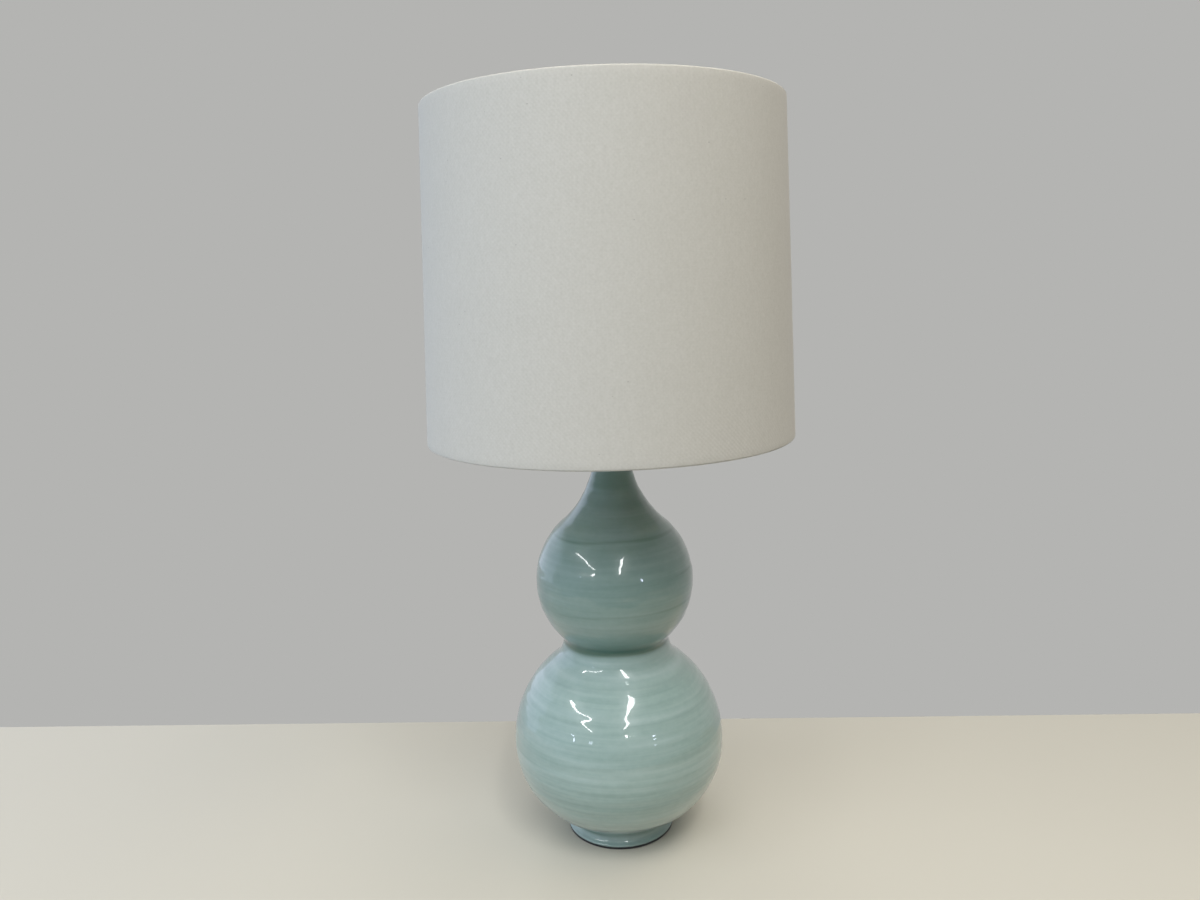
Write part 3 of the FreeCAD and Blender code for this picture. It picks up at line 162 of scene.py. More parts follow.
def surface(
    name: str,
    points: np.ndarray,
    wrap_rows: bool = False,
    wrap_columns: bool = True,
    uv: np.ndarray | None = None,
    marks: dict[str, np.ndarray] | None = None,
    crease: float = CREASE,
) -> Object:
    """Makes a mesh object from a grid of points.

    Neighbouring points of the grid make a four-sided face. Points that meet, as at a pole, are merged, and the
    faces are turned round if the shell's signed volume comes out negative.

    Args:
        name: the object's name.
        points: rows x columns x 3, in millimetres.
        wrap_rows: whether the last row joins the first.
        wrap_columns: whether the last column joins the first.
        uv: a grid of surface coordinates, with one more row or column where the points wrap.
        marks: named values of the points, kept as attributes.
        crease: angle in degrees past which an edge stays sharp.

    Returns:
        The new object.
    """
    rows, columns = points.shape[:2]
    row = np.arange(rows if wrap_rows else rows - 1)[:, None]
    column = np.arange(columns if wrap_columns else columns - 1)[None, :]
    corner_rows = np.stack([row, row, row + 1, row + 1], axis=-1) + 0 * column[..., None]
    corner_columns = np.stack([column, column + 1, column + 1, column], axis=-1) + 0 * row[..., None]
    faces = ((corner_rows % rows) * columns + corner_columns % columns).reshape(-1, 4)
    flat = points.reshape(-1, 3) * MM
    a, b, c, d = (flat[faces[:, n]] for n in range(4))
    volume = (np.cross(a, b) * c).sum() + (np.cross(a, c) * d).sum()
    order = slice(None, None, -1) if volume < 0 else slice(None)
    faces = faces[:, order]
    mesh = bpy.data.meshes.new(name)
    mesh.from_pydata(flat.tolist(), [], faces.tolist())
    if uv is not None:
        layer = mesh.uv_layers.new(name="Surface")
        spots = uv[corner_rows, corner_columns].reshape(-1, 4, 2)[:, order]
        layer.data.foreach_set("uv", spots.astype(np.float32).ravel())
    for key, values in (marks or {}).items():
        mark = mesh.attributes.new(key, "FLOAT", "POINT")
        mark.data.foreach_set("value", values.astype(np.float32).ravel())
    edges = np.linalg.norm(np.diff(flat.reshape(rows, columns, 3)[[0, -1]], axis=1), axis=2).max(axis=1)
    if (edges < 1e-7).any():
        merge_points(mesh)
    mesh.shade_smooth()
    mesh.set_sharp_from_angle(angle=float(np.radians(crease)))
    return in_scene(name, mesh)


def merge_points(mesh: Mesh) -> None:
    """Merges the points of a mesh that lie on one another, such as those of a pole.

    Args:
        mesh: the mesh, which is changed.
    """
    work = bmesh.new()
    work.from_mesh(mesh)
    bmesh.ops.remove_doubles(work, verts=work.verts, dist=1e-7)
    work.to_mesh(mesh)
    work.free()


def around(count: int) -> np.ndarray:
    """Angles of that many even steps round Z, in radians."""
    return np.linspace(0.0, TURN, count, endpoint=False)


def turned_points(outline: np.ndarray, angles: np.ndarray) -> np.ndarray:
    """Turns an outline round Z: each of its points makes a circle, read at the angles."""
    across, up = outline[:, :1], outline[:, 1:]
    return np.stack([across * np.cos(angles), across * np.sin(angles), up + 0 * angles], axis=-1)


def push(points: np.ndarray, angles: np.ndarray, out: np.ndarray) -> None:
    """Moves a turned grid's points away from Z by so many millimetres, or towards it where they are negative."""
    points[..., 0] += out * np.cos(angles)
    points[..., 1] += out * np.sin(angles)


def turned(name: str, outline: np.ndarray, closed: bool = True, segments: int = 96) -> Object:
    """Makes a turned piece from half of its section.

    Args:
        name: the object's name.
        outline: points of the section, in millimetres.
        closed: whether the section is a closed loop, as on a ring, or ends on the axis.
        segments: faces round the axis.

    Returns:
        The new object.
    """
    return surface(name, turned_points(outline, around(segments)), wrap_rows=closed)


def rod(radius: float, low: float, high: float, segments: int) -> Object:
    """Makes a plain round rod, to cut with."""
    outline = np.array([(0.0, low), (radius, low), (radius, high), (0.0, high)])
    return turned("rod", outline, closed=False, segments=segments)


def bored(piece: Object, tool: Object) -> None:
    """Cuts a tool's shape out of a piece, and removes the tool.

    Args:
        piece: what is cut; it gets a new mesh.
        tool: a closed shape.
    """
    cut = piece.modifiers.new("bore", "BOOLEAN")
    cut.object, cut.operation, cut.solver = tool, "DIFFERENCE", "EXACT"
    mesh = bpy.data.meshes.new_from_object(piece.evaluated_get(bpy.context.evaluated_depsgraph_get()))
    piece.modifiers.clear()
    piece.data = mesh
    bpy.data.objects.remove(tool)


def tube_points(path: np.ndarray, normal: np.ndarray, radius: float, sides: int = 16) -> np.ndarray:
    """Points of a round tube along a path that lies in one plane.

    Each ring is the path's point plus the radius times a mix of the plane's normal and of the path's own
    sideways direction. The ends close on the path.

    Args:
        path: points of the centre line, in millimetres.
        normal: unit normal of the plane that it lies in.
        radius: of the tube.
        sides: of the tube.

    Returns:
        A grid with one row for each ring.
    """
    way = np.gradient(path, axis=0)
    way /= np.linalg.norm(way, axis=1, keepdims=True)
    side = np.cross(way, normal)
    angle = around(sides)[None, :, None]
    rings = path[:, None] + radius * (np.cos(angle) * side[:, None] + np.sin(angle) * normal)
    return np.concatenate([path[:1, None] + 0 * rings[:1], rings, path[-1:, None] + 0 * rings[-1:]])


def placed(piece: Object, matrix: Matrix) -> Object:
    """Moves a piece by moving its mesh, and leaves the object at the origin."""
    piece.data.transform(matrix)
    return piece


def joined(name: str, pieces: Sequence[Object]) -> Object:
    """Makes one object of several meshes.

    Args:
        name: the new object's name.
        pieces: the objects whose meshes it takes, and which it removes.

    Returns:
        The one object.
    """
    work = bmesh.new()
    for piece in pieces:
        work.from_mesh(piece.data)
        bpy.data.objects.remove(piece)
    mesh = bpy.data.meshes.new(name)
    work.to_mesh(mesh)
    work.free()
    return in_scene(name, mesh)


# ---------------------------------------------------------------- finishes


def linear(code: str) -> tuple[float, float, float, float]:
    """Turns an sRGB hex value into a linear colour.

    Args:
        code: six hex digits.

    Returns:
        Red, green, blue and an alpha of 1.
    """
    levels = np.array([int(code[n:n + 2], 16) for n in (0, 2, 4)]) / 255.0
    light = np.where(levels <= 0.04045, levels / 12.92, ((levels + 0.055) / 1.055) ** 2.4)
    return (*(float(level) for level in light), 1.0)


def output_of(node: Node) -> NodeSocket:
    """The first output of a node that its settings leave in use."""
    return next(socket for socket in node.outputs if socket.enabled)


def add_node(
    tree: NodeTree, kind: str, inputs: dict | None = None, feeds: Sequence[NodeSocket] = (), **settings,
) -> Node:
    """Adds a node with its settings, and sets or links its inputs and its output.

    Args:
        tree: the material's or the world's nodes.
        kind: the node's type.
        inputs: for each input, by name or by place, a number, a colour, a node or one of a node's outputs.
        feeds: inputs of other nodes that its output goes to.
        **settings: the node's own properties.

    Returns:
        The new node.
    """
    node = tree.nodes.new(f"ShaderNode{kind}")
    for key, value in settings.items():
        setattr(node, key, value)
    for key, value in (inputs or {}).items():
        source = output_of(value) if isinstance(value, Node) else value
        if isinstance(source, NodeSocket):
            tree.links.new(source, node.inputs[key])
        else:
            node.inputs[key].default_value = source
    for socket in feeds:
        tree.links.new(output_of(node), socket)
    return node


@dataclass(frozen=True)
class Finish:
    """A finish: its name, its colour and the sockets of its shader that are the same all over."""

    name: str
    colour: str
    roughness: float = 0.5
    metallic: float = 0.0
    sockets: tuple[tuple[str, float], ...] = ()

    def material(self) -> Material:
        """Makes the material, and dresses it as its kind of finish does.

        Returns:
            The material.
        """
        made = bpy.data.materials.new(self.name)
        made.use_nodes = True
        tree = made.node_tree
        tree.nodes.clear()
        shader = add_node(tree, "BsdfPrincipled", {
            "Base Color": linear(self.colour), "Roughness": self.roughness, "Metallic": self.metallic,
            **dict(self.sockets),
        })
        add_node(tree, "OutputMaterial", {"Surface": shader})
        self.dress(tree, shader)
        return made

    def dress(self, tree: NodeTree, shader: Node) -> None:
        """Adds the finish's own patterns to its shader."""

    def pattern(
        self, tree: NodeTree, across: float, up: float, detail: float = 3.0, shift: float = 0.0,
        coordinates: str = "Object",
    ) -> Node:
        """Adds a cloudy pattern with features of a real size.

        Args:
            tree: the material's nodes.
            across: length of the features along the level, in millimetres.
            up: their height, in millimetres.
            detail: how many finer layers it has.
            shift: moves the pattern, in metres, so that two of them differ.
            coordinates: output of Texture Coordinate that it reads; UV has two directions, Object three.

        Returns:
            The pattern, about 0.5 on the average.
        """
        place = add_node(tree, "TexCoord")
        level, upright = 1.0 / (across * MM), 1.0 / (up * MM)
        scaled = add_node(tree, "Mapping", {
            "Vector": place.outputs[coordinates], "Location": (shift, -shift, shift),
            "Scale": (level, level, upright) if coordinates == "Object" else (level, upright, 1.0),
        })
        return add_node(tree, "TexNoise", {"Vector": scaled, "Scale": 1.0, "Detail": detail, "Roughness": 0.55})

    def share(self, tree: NodeTree, start: float, layers: Sequence[tuple[Node, float]]) -> Node:
        """Adds patterns up to a share between 0 and 1: the start, and each pattern times its weight.

        Args:
            tree: the material's nodes.
            start: what the sum starts from.
            layers: the patterns and their weights.

        Returns:
            The share.
        """
        total = start
        for layer, weight in layers:
            total = add_node(tree, "Math", {0: layer, 1: weight, 2: total}, operation="MULTIPLY_ADD")
        total.use_clamp = True
        return total


@dataclass(frozen=True)
class CeladonGlaze(Finish):
    """Celadon glaze, dipped and fired over thrown stoneware.

    The eye sees a deep wet gloss over a soft blue-green; the glaze is darker where it ran together, in the
    waist and round the foot, and paler in level bands where the throwing ridges thin it. Its dark pooled colour
    also paints shade: in the waist crease, under the belly, and in part over the upper ball and neck under
    the lamp shade.
    """

    pale: str = "9EB2AE"
    deep: str = "829B94"
    # Dark pooled glaze, also laid on as painted shade in the waist, under the belly and over the upper ball and
    # neck.
    pooled_and_shaded: str = "2C5A4D"
    waviness: float = 0.55

    def dress(self, tree: NodeTree, shader: Node) -> None:
        """Level bands and streaks between the pale and the deep glaze, and the pooled colour over them: pooled
        glaze and painted shade.

        Args:
            tree: the material's nodes.
            shader: its main shader.
        """
        bands = self.pattern(tree, across=190.0, up=15.0, detail=2.0)
        streaks = self.pattern(tree, across=110.0, up=3.6, shift=0.37)
        mottle = self.pattern(tree, across=7.0, up=5.0, shift=0.21)
        share = self.share(tree, -1.0, ((bands, 1.8), (streaks, 0.95), (mottle, 0.5)))
        body = add_node(tree, "Mix", {0: share, 6: linear(self.pale), 7: linear(self.deep)}, data_type="RGBA")
        # This attribute holds the share of pooled glaze and painted shade.
        pool_and_shade = add_node(tree, "Attribute", attribute_name="pool_and_shade")
        add_node(tree, "Mix", {0: pool_and_shade.outputs["Fac"], 6: body, 7: linear(self.pooled_and_shaded)},
                 [shader.inputs["Base Color"]], data_type="RGBA")
        skin = self.pattern(tree, across=19.0, up=8.0, detail=0.0, shift=0.11)
        add_node(tree, "Bump", {"Height": skin, "Strength": self.waviness, "Distance": MM},
                 [shader.inputs["Normal"], shader.inputs["Coat Normal"]])


@dataclass(frozen=True)
class PlainLinen(Finish):
    """Bleached linen in plain weave, laminated flat.

    The eye sees a matte off-white with a fine grid of threads, thick and thin places along single threads, and
    a few darker flecks. Threads of 0.6 mm are too fine for the render, so they are drawn 2.1 mm apart.
    """

    shade: str = "C0BDB3"
    fleck: str = "77736A"
    thread: float = 2.1
    flecks_per_metre: tuple[float, float] = (38.0, 55.0)

    def dress(self, tree: NodeTree, shader: Node) -> None:
        """Threads over and under, slubs along both sets of them, soft clouds and flecks.

        Args:
            tree: the material's nodes.
            shader: its main shader.
        """
        place = add_node(tree, "TexCoord").outputs["UV"]
        step = add_node(tree, "Mapping", {"Vector": place, "Scale": (np.pi / (self.thread * MM),) * 3})
        split = add_node(tree, "SeparateXYZ", {"Vector": step})
        over, under = (add_node(tree, "Math", {0: split.outputs[axis]}, operation="SINE") for axis in "XY")
        weave = add_node(tree, "Math", {0: over, 1: under}, operation="MULTIPLY")
        weft = self.pattern(tree, across=5.0, up=1.9, detail=1.0, coordinates="UV")
        warp = self.pattern(tree, across=1.9, up=6.0, detail=1.0, shift=0.3, coordinates="UV")
        clouds = self.pattern(tree, across=30.0, up=30.0, shift=0.7, coordinates="UV")
        slubs = add_node(tree, "Math", {0: weft, 1: warp}, operation="ADD")
        uneven = self.share(tree, -0.75, ((slubs, 1.1), (weave, 0.13), (clouds, 0.35)))
        cloth = add_node(tree, "Mix", {0: uneven, 6: linear(self.colour), 7: linear(self.shade)}, data_type="RGBA")
        spots = add_node(tree, "Mapping", {"Vector": place, "Scale": (*self.flecks_per_metre, 1.0)})
        cells = add_node(tree, "TexVoronoi", {"Vector": spots, "Scale": 1.0})
        fleck = add_node(tree, "MapRange", {
            "Value": cells, "From Min": 0.018, "From Max": 0.034, "To Min": 0.45, "To Max": 0.0,
        })
        add_node(tree, "Mix", {0: fleck, 6: cloth, 7: linear(self.fleck)}, [shader.inputs["Base Color"]],
                 data_type="RGBA")
        relief = add_node(tree, "Math", {0: weave, 1: 0.5, 2: slubs}, operation="MULTIPLY_ADD")
        add_node(tree, "Bump", {"Height": relief, "Strength": 0.25, "Distance": GRAIN_DEPTH},
                 [shader.inputs["Normal"]])


@dataclass(frozen=True)
class PressedFelt(Finish):
    """Wool felt, pressed: the eye sees a dull dark mat of short fibres with a slight bloom at its edge."""

    fibre: str = "3A3A3A"

    def dress(self, tree: NodeTree, shader: Node) -> None:
        """Fibres, drawn 1.5 mm long, in colour and relief.

        Args:
            tree: the material's nodes.
            shader: its main shader.
        """
        fibres = self.pattern(tree, across=1.5, up=1.5, detail=4.0)
        add_node(tree, "Mix", {0: fibres, 6: linear(self.colour), 7: linear(self.fibre)},
                 [shader.inputs["Base Color"]], data_type="RGBA")
        add_node(tree, "Bump", {"Height": fibres, "Strength": 0.8, "Distance": 0.0005}, [shader.inputs["Normal"]])


@dataclass(frozen=True)
class TurnedMetal(Finish):
    """Metal that was spun or turned and then plated or lacquered.

    The eye sees a metal sheen, broken by fine rings where the tool went round and by a cloudy film.
    """

    metallic: float = 1.0
    film: str = "B08C4B"
    ring: float = 0.8

    def dress(self, tree: NodeTree, shader: Node) -> None:
        """Tool rings in relief and roughness, and a film in the colour.

        Args:
            tree: the material's nodes.
            shader: its main shader.
        """
        rings = self.pattern(tree, across=60.0, up=self.ring, detail=2.0)
        film = self.pattern(tree, across=14.0, up=14.0, shift=0.2)
        add_node(tree, "Mix", {0: film, 6: linear(self.colour), 7: linear(self.film)},
                 [shader.inputs["Base Color"]], data_type="RGBA")
        add_node(tree, "MapRange", {
            "Value": rings, "From Min": 0.3, "From Max": 0.7,
            "To Min": self.roughness * 0.8, "To Max": self.roughness * 1.3,
        }, [shader.inputs["Roughness"]])
        add_node(tree, "Bump", {"Height": rings, "Strength": 0.12, "Distance": GRAIN_DEPTH},
                 [shader.inputs["Normal"]])


@dataclass(frozen=True)
class Moulded(Finish):
    """Moulded or pressed material: the eye sees a plain even colour with a faint flow and a fine grain."""

    flow: str = "2A2420"
    grain: float = 1.2
    relief: float = 0.1

    def dress(self, tree: NodeTree, shader: Node) -> None:
        """A slow flow in the colour, and a grain in relief.

        Args:
            tree: the material's nodes.
            shader: its main shader.
        """
        clouds = self.pattern(tree, across=11.0, up=11.0, shift=0.5)
        add_node(tree, "Mix", {0: clouds, 6: linear(self.colour), 7: linear(self.flow)},
                 [shader.inputs["Base Color"]], data_type="RGBA")
        grain = self.pattern(tree, across=self.grain, up=self.grain, detail=2.0, shift=0.9)
        add_node(tree, "Bump", {"Height": grain, "Strength": self.relief, "Distance": GRAIN_DEPTH},
                 [shader.inputs["Normal"]])


FINISHES: dict[str, Finish] = {
    finish.name: finish
    for finish in (
        CeladonGlaze("celadon_glaze", "A9C2C2", roughness=0.3, sockets=(
            ("Coat Weight", 1.0), ("Coat Roughness", 0.025), ("Coat IOR", 1.5), ("IOR", 1.5))),
        PlainLinen("linen", "C9C6BD", roughness=0.92, sockets=(("Sheen Weight", 0.12), ("Sheen Roughness", 0.5))),
        PressedFelt("black_felt", "161616", roughness=1.0, sockets=(("Sheen Weight", 0.3),)),
        TurnedMetal("brass", "DDC48C", roughness=0.26, film="CBAE6E"),
        TurnedMetal("brass_wire", "DAC189", roughness=0.22, film="C8AB6B", ring=6.0),
        TurnedMetal("zinc_steel", "B9BBBD", roughness=0.34, film="A3A5A6"),
        TurnedMetal("contact_brass", "CBAE74", roughness=0.36, film="A98650"),
        TurnedMetal("bulb_aluminium", "D2D3D4", roughness=0.27, film="BFC0C2"),
        TurnedMetal("solder", "B4B4B6", roughness=0.4, film="97979A"),
        Moulded("black_phenolic", "14110F", roughness=0.28, flow="221B16"),
        Moulded("fibre_card", "7D6850", roughness=0.9, flow="6C5944", relief=0.4),
        Moulded("black_glass", "0B0B0D", roughness=0.1, flow="101014", relief=0.02),
        Moulded("styrene", "E9E7DD", roughness=0.42, flow="E3E1D6", relief=0.05, sockets=(
            ("Subsurface Weight", 0.15), ("Subsurface Scale", 0.002))),
        Moulded("white_wire", "DAD9D3", roughness=0.4, flow="D2D1CB", relief=0.15),
        Moulded("frosted_glass", "F1F0EA", roughness=0.2, flow="E9E8E1", relief=0.0, sockets=(
            ("Coat Weight", 0.6), ("Coat Roughness", 0.05), ("Transmission Weight", 0.12))),
    )
}
MADE: dict[str, Material] = {}


def finish_for(slot: str) -> Material:
    """The material of one of the record's slots, made the first time that it is asked for.

    Args:
        slot: the record's material slot.

    Returns:
        The material.
    """
    if slot not in MADE:
        MADE[slot] = FINISHES[slot].material()
    return MADE[slot]


@dataclass
class Assembly:
    """A group of pieces that rides on one body."""

    body: Body = Body.LAMP
    pieces: list[Object] = field(default_factory=list)

    def build(self) -> None:
        """Makes the pieces of the group."""
        raise NotImplementedError

    def take(self, piece: Object, slot: str, *nodes: str, body: Body | None = None) -> Object:
        """Dresses a new piece, lets it ride and says which nodes it stands for.

        Args:
            piece: the new object.
            slot: the record's material slot.
            *nodes: the CAD nodes that it replaces.
            body: what it rides on, if that isn't the group's own body.

        Returns:
            The same object.
        """
        piece.data.materials.clear()
        piece.data.materials.append(finish_for(slot))
        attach(piece, (body or self.body).value)
        if nodes:
            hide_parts(*nodes)
        self.pieces.append(piece)
        LOG.info("%s rides on %s, %d faces", piece.name, (body or self.body).value, len(piece.data.polygons))
        return piece


# ---------------------------------------------------------------- glazed body


@dataclass
class GlazedBody(Assembly):
    """The thrown and glazed double gourd, its felt and the bushing of its cord hole."""

    foot: float = 2.0
    height: float = 428.0
    wall: float = 6.5
    belly: float = 115.3
    belly_level: float = 103.0
    under: float = 92.4
    waist: float = 57.5
    crease: float = 9.0
    crown: float = 84.65
    crown_level: float = 284.9
    neck: float = 109.0
    neck_offset: float = 127.3
    foot_radius: float = 59.3
    foot_inner: float = 46.5
    collar: float = 53.8
    recess: float = 9.5
    hole: float = 5.8
    rim_round: float = 2.2
    lip_round: float = 2.0
    outlet_level: float = 37.7
    outlet_radius: float = 6.0
    felt_radius: float = 58.9
    # Waist levels of the pooled glaze, which also paints the shade in the crease.
    pool_and_shade_edge: float = 217.5
    pool_and_shade_level: float = 219.0
    glaze_rings: tuple[float, ...] = (232.5, 246.0, 268.5, 273.5, 301.0, 340.0, 187.0, 160.0, 121.0, 78.0, 52.0)
    columns: int = 224

    def build(self) -> None:
        """Makes the shell, the felt and the bushing."""
        shell = self.shell()
        self.drill(shell)
        self.take(shell, "celadon_glaze", "ceramic_body")
        self.take(self.felt(), "black_felt", "base_felt")
        self.take(self.bushing(), "black_phenolic", "cord_bushing")

    def side(self, inset: float, step: float) -> np.ndarray:
        """The wall's line from the lower ball's widest level up to the rim, at a depth below the glaze.

        The waist is two arcs that meet where it is narrowest: a tight crease that touches the upper ball, and a
        wider sweep that touches the lower one, whose radius is (w^2 + u^2 - B^2) / (2 (B - w)) for the waist's
        radius w, its height u over the lower ball's centre and that ball's radius B. All arcs meet on the lines
        between their centres.

        Args:
            inset: depth below the glaze, in millimetres.
            step: longest run between its points, in millimetres.

        Returns:
            The line's points.
        """
        level = self.crown_level - np.sqrt((self.crown + self.crease) ** 2 - (self.waist + self.crease) ** 2)
        up = level - self.belly_level
        sweep = (self.waist**2 + up**2 - self.belly**2) / (2 * (self.belly - self.waist))
        reach = self.crown + self.neck
        neck_level = self.crown_level + np.sqrt(reach**2 - self.neck_offset**2)
        turn_low = np.degrees(np.arctan2(up, self.waist + sweep))
        turn_high = np.degrees(np.arctan2(self.crown_level - level, self.waist + self.crease))
        turn_neck = np.degrees(np.arctan2(neck_level - self.crown_level, self.neck_offset))
        top = np.degrees(np.arcsin((neck_level - self.height) / (self.neck + inset)))
        runs = (
            ((0.0, self.belly_level), self.belly - inset, 0.0, turn_low),
            ((self.waist + sweep, level), sweep + inset, 180.0 + turn_low, 180.0),
            ((self.waist + self.crease, level), self.crease + inset, 180.0, 180.0 - turn_high),
            ((0.0, self.crown_level), self.crown - inset, -turn_high, turn_neck),
            ((self.neck_offset, neck_level), self.neck + inset, 180.0 + turn_neck, 180.0 + top),
        )
        arcs = [
            arc_points(centre, radius, start, end, max(3, int(abs(np.radians(end - start)) * radius / step)))
            for centre, radius, start, end in runs
        ]
        return np.vstack([arcs[0]] + [arc[1:] for arc in arcs[1:]])

    def underside(self, inset: float, end: float, step: float) -> np.ndarray:
        """The lower ball's underside, from its widest level down to an angle below it, in degrees.

        Args:
            inset: depth below the glaze, in millimetres.
            end: the angle below the level, in degrees, where it stops.
            step: longest run between its points, in millimetres.

        Returns:
            The line's points.
        """
        centre = (self.belly - self.under, self.belly_level)
        radius = self.under - inset
        return arc_points(centre, radius, 0.0, -end, max(3, int(np.radians(end) * radius / step)))

    def foot_line(self) -> np.ndarray:
        """The foot from its inner edge out, round the flare, to the belly.

        Returns:
            The line's points.
        """
        offset = self.belly - self.under
        drop = np.sqrt((self.under + 3.0) ** 2 - (self.collar + 3.0 - offset) ** 2)
        flare = rounded([
            (self.foot_inner, 0.0, 0.0), (self.foot_radius, 0.0, 1.5), (self.foot_radius - 0.2, 2.2, 1.5),
            (self.foot_radius - 3.3, 4.2, 5.0), (self.collar + 0.7, 7.0, 4.0),
            (self.collar, 9.5, 2.0), (self.collar, self.belly_level - drop, 0.0),
        ], steps=4)
        centre = (self.collar + 3.0, self.belly_level - drop)
        end = np.degrees(np.arctan2(drop, self.collar + 3.0 - offset))
        fillet = arc_points(centre, 3.0, 180.0, 180.0 - end, 5)
        return np.vstack([flare, fillet[1:]])

    def outside(self) -> np.ndarray:
        """The whole glazed line from the foot's inner edge to the rim.

        Returns:
            The line's points.
        """
        foot = self.foot_line()
        centre = np.array([self.belly - self.under, self.belly_level])
        end = np.degrees(np.arctan2(centre[1] - foot[-1, 1], foot[-1, 0] - centre[0]))
        below = self.underside(0.0, end, 1.8)[::-1]
        return np.vstack([foot, below[1:], self.side(0.0, 1.8)[1:]])

    def ridges(self, level: np.ndarray, angle: np.ndarray) -> np.ndarray:
        """How far the throwing ridges stand proud: level waves of three lengths that climb as they go round.

        They are strongest on the neck and fade out at the foot and at the rim.

        Args:
            level: heights over the foot, in millimetres.
            angle: angles round Z, in radians.

        Returns:
            Millimetres out from the smooth wall.
        """
        climb = level - 3.0 * np.sin(angle + 0.4) - 1.5 * np.sin(2 * angle + level / 90.0)
        wave = (
            0.075 * np.sin(climb * TURN / 17.0 + 1.3 * np.sin(angle))
            + 0.045 * np.sin(climb * TURN / 9.7 + 2.0 * np.sin(angle + level / 60.0))
            + 0.11 * np.sin(climb * TURN / 41.0 + 1.7 * np.sin(angle + 1.1))
        )
        strength = 1.0 + 0.9 * np.exp(-(((level - 400.0) / 22.0) ** 2))
        fade = np.clip((level - 22.0) / 18.0, 0.0, 1.0) * np.clip((self.height - 3.0 - level) / 6.0, 0.0, 1.0)
        sway = 0.22 * np.cos(2 * angle + 0.6) + 0.12 * np.cos(3 * angle + level / 70.0)
        return (wave * strength + sway) * fade

    def glaze_pooling_and_shade(self, level: np.ndarray, angle: np.ndarray) -> np.ndarray:
        """Pooled glaze and painted shade, with an uneven edge: waist, collar, thin rings, upper ball and neck.

        Args:
            level: heights over the foot, in millimetres.
            angle: angles round Z, in radians.

        Returns:
            The share of the deep colour, pooled glaze and painted shade, from 0 to 1.
        """
        waver = level + 0.8 * np.sin(2 * angle + 0.5) + 0.5 * np.sin(5 * angle)
        edge = 1.0 / (1.0 + np.exp(-(waver - self.pool_and_shade_edge) / 1.1))
        # Waist: pooled glaze, whose dark colour also paints the shade in the crease under the upper ball.
        waist = edge * np.exp(-(((waver - self.pool_and_shade_level) / 11.0) ** 2))
        rings = np.array(self.glaze_rings)[:, None, None]
        turn = 2.3 * rings
        part = np.clip(0.35 + 0.65 * np.sin(angle + turn) + 0.3 * np.sin(3 * angle + turn), 0.0, 1.0)
        above = rings > self.pool_and_shade_edge
        depth, width = np.where(above, 0.34, 0.13), np.where(above, 1.2, 2.2)
        line = (depth * part * np.exp(-(((waver - rings - 1.5 * np.sin(angle + turn)) / width) ** 2))).sum(axis=0)
        # Collar: pooled glaze in the groove, which also paints the shade under the belly.
        collar = 0.8 * np.exp(-(((waver - 11.5) / 2.4) ** 2))
        # Upper ball and neck: the deep colour partly as a thicker glaze and partly as painted shade under the lamp
        # shade, more towards the rim.
        upper = 0.34 * edge + 0.2 / (1.0 + np.exp(-(waver - 372.0) / 14.0))
        return np.clip(waist + line + collar + upper, 0.0, 1.0)

    def shell(self) -> Object:
        """The shell, as one closed surface: the glazed line, the rim, the inner wall, floor and recess.

        Returns:
            The new piece.
        """
        outer = self.outside()
        inner = np.vstack([self.side(self.wall, 9.0)[:0:-1], self.underside(self.wall, 90.0, 9.0)])
        round_out, round_in = self.height - self.rim_round, self.height - self.lip_round
        rim = arc_points((outer[-1, 0] - self.rim_round, round_out), self.rim_round, 0.0, 90.0, 4)
        outer = np.vstack([outer[outer[:, 1] < round_out], rim])
        lip = arc_points((inner[0, 0] + self.lip_round, round_in), self.lip_round, 90.0, 180.0, 4)
        inner = inner[inner[:, 1] < round_in]
        floor = rounded([
            (self.hole + 3.0, inner[-1, 1], 0.0), (self.hole, inner[-1, 1], 0.5), (self.hole, self.recess, 0.5),
            (self.foot_inner, self.recess, 1.5), (self.foot_inner, 3.0, 0.0),
        ])
        outline = np.vstack([outer, lip, inner, floor])
        angles = around(self.columns)
        glazed = (np.arange(len(outline)) < len(outer))[:, None] * 1.0
        points = turned_points(outline, angles)
        slope = np.gradient(outline, axis=0)
        normal = np.stack([slope[:, 1], -slope[:, 0]], axis=1)
        normal /= np.linalg.norm(normal, axis=1, keepdims=True)
        level = outline[:, 1:] + 0 * angles
        proud = self.ridges(level, angles) * glazed
        push(points, angles, proud * normal[:, :1])
        points[..., 2] += proud * normal[:, 1:] + self.foot
        # The deep colour's share: pooled glaze, and painted shade in the waist, at the collar and on the upper ball
        # and neck.
        pool_and_shade = self.glaze_pooling_and_shade(level, angles) * glazed
        return surface("glazed_double_gourd", points, wrap_rows=True, marks={"pool_and_shade": pool_and_shade})

    def outlet(self) -> Matrix:
        """Stands a piece that was made upright on the cord hole's mouth, square to the wall.

        Returns:
            The place, as a matrix.
        """
        rise = (self.outlet_level - self.belly_level) / self.under
        out = np.sqrt(1 - rise**2)
        mouth = Vector((0.0, self.belly - self.under + self.under * out, self.foot + self.outlet_level)) * MM
        way = Vector((0.0, out, rise)).to_track_quat("Z", "Y")
        return Matrix.Translation(mouth) @ way.to_matrix().to_4x4()

    def drill(self, shell: Object) -> None:
        """Cuts the cord hole through the wall."""
        bored(shell, placed(rod(self.outlet_radius, -14.0, 6.0, 48), self.outlet()))
        shell.data.set_sharp_from_angle(angle=float(np.radians(CREASE)))

    def felt(self) -> Object:
        """The felt disc, its cut edge a little soft.

        Returns:
            The new piece.
        """
        wide, thick = self.felt_radius, self.foot
        outline = rounded([(0, 0, 0), (wide, 0, 0.4), (wide, thick, 0.4), (0, thick, 0)])
        return turned("felt_pad", refined(outline, 6.0), closed=False, segments=144)

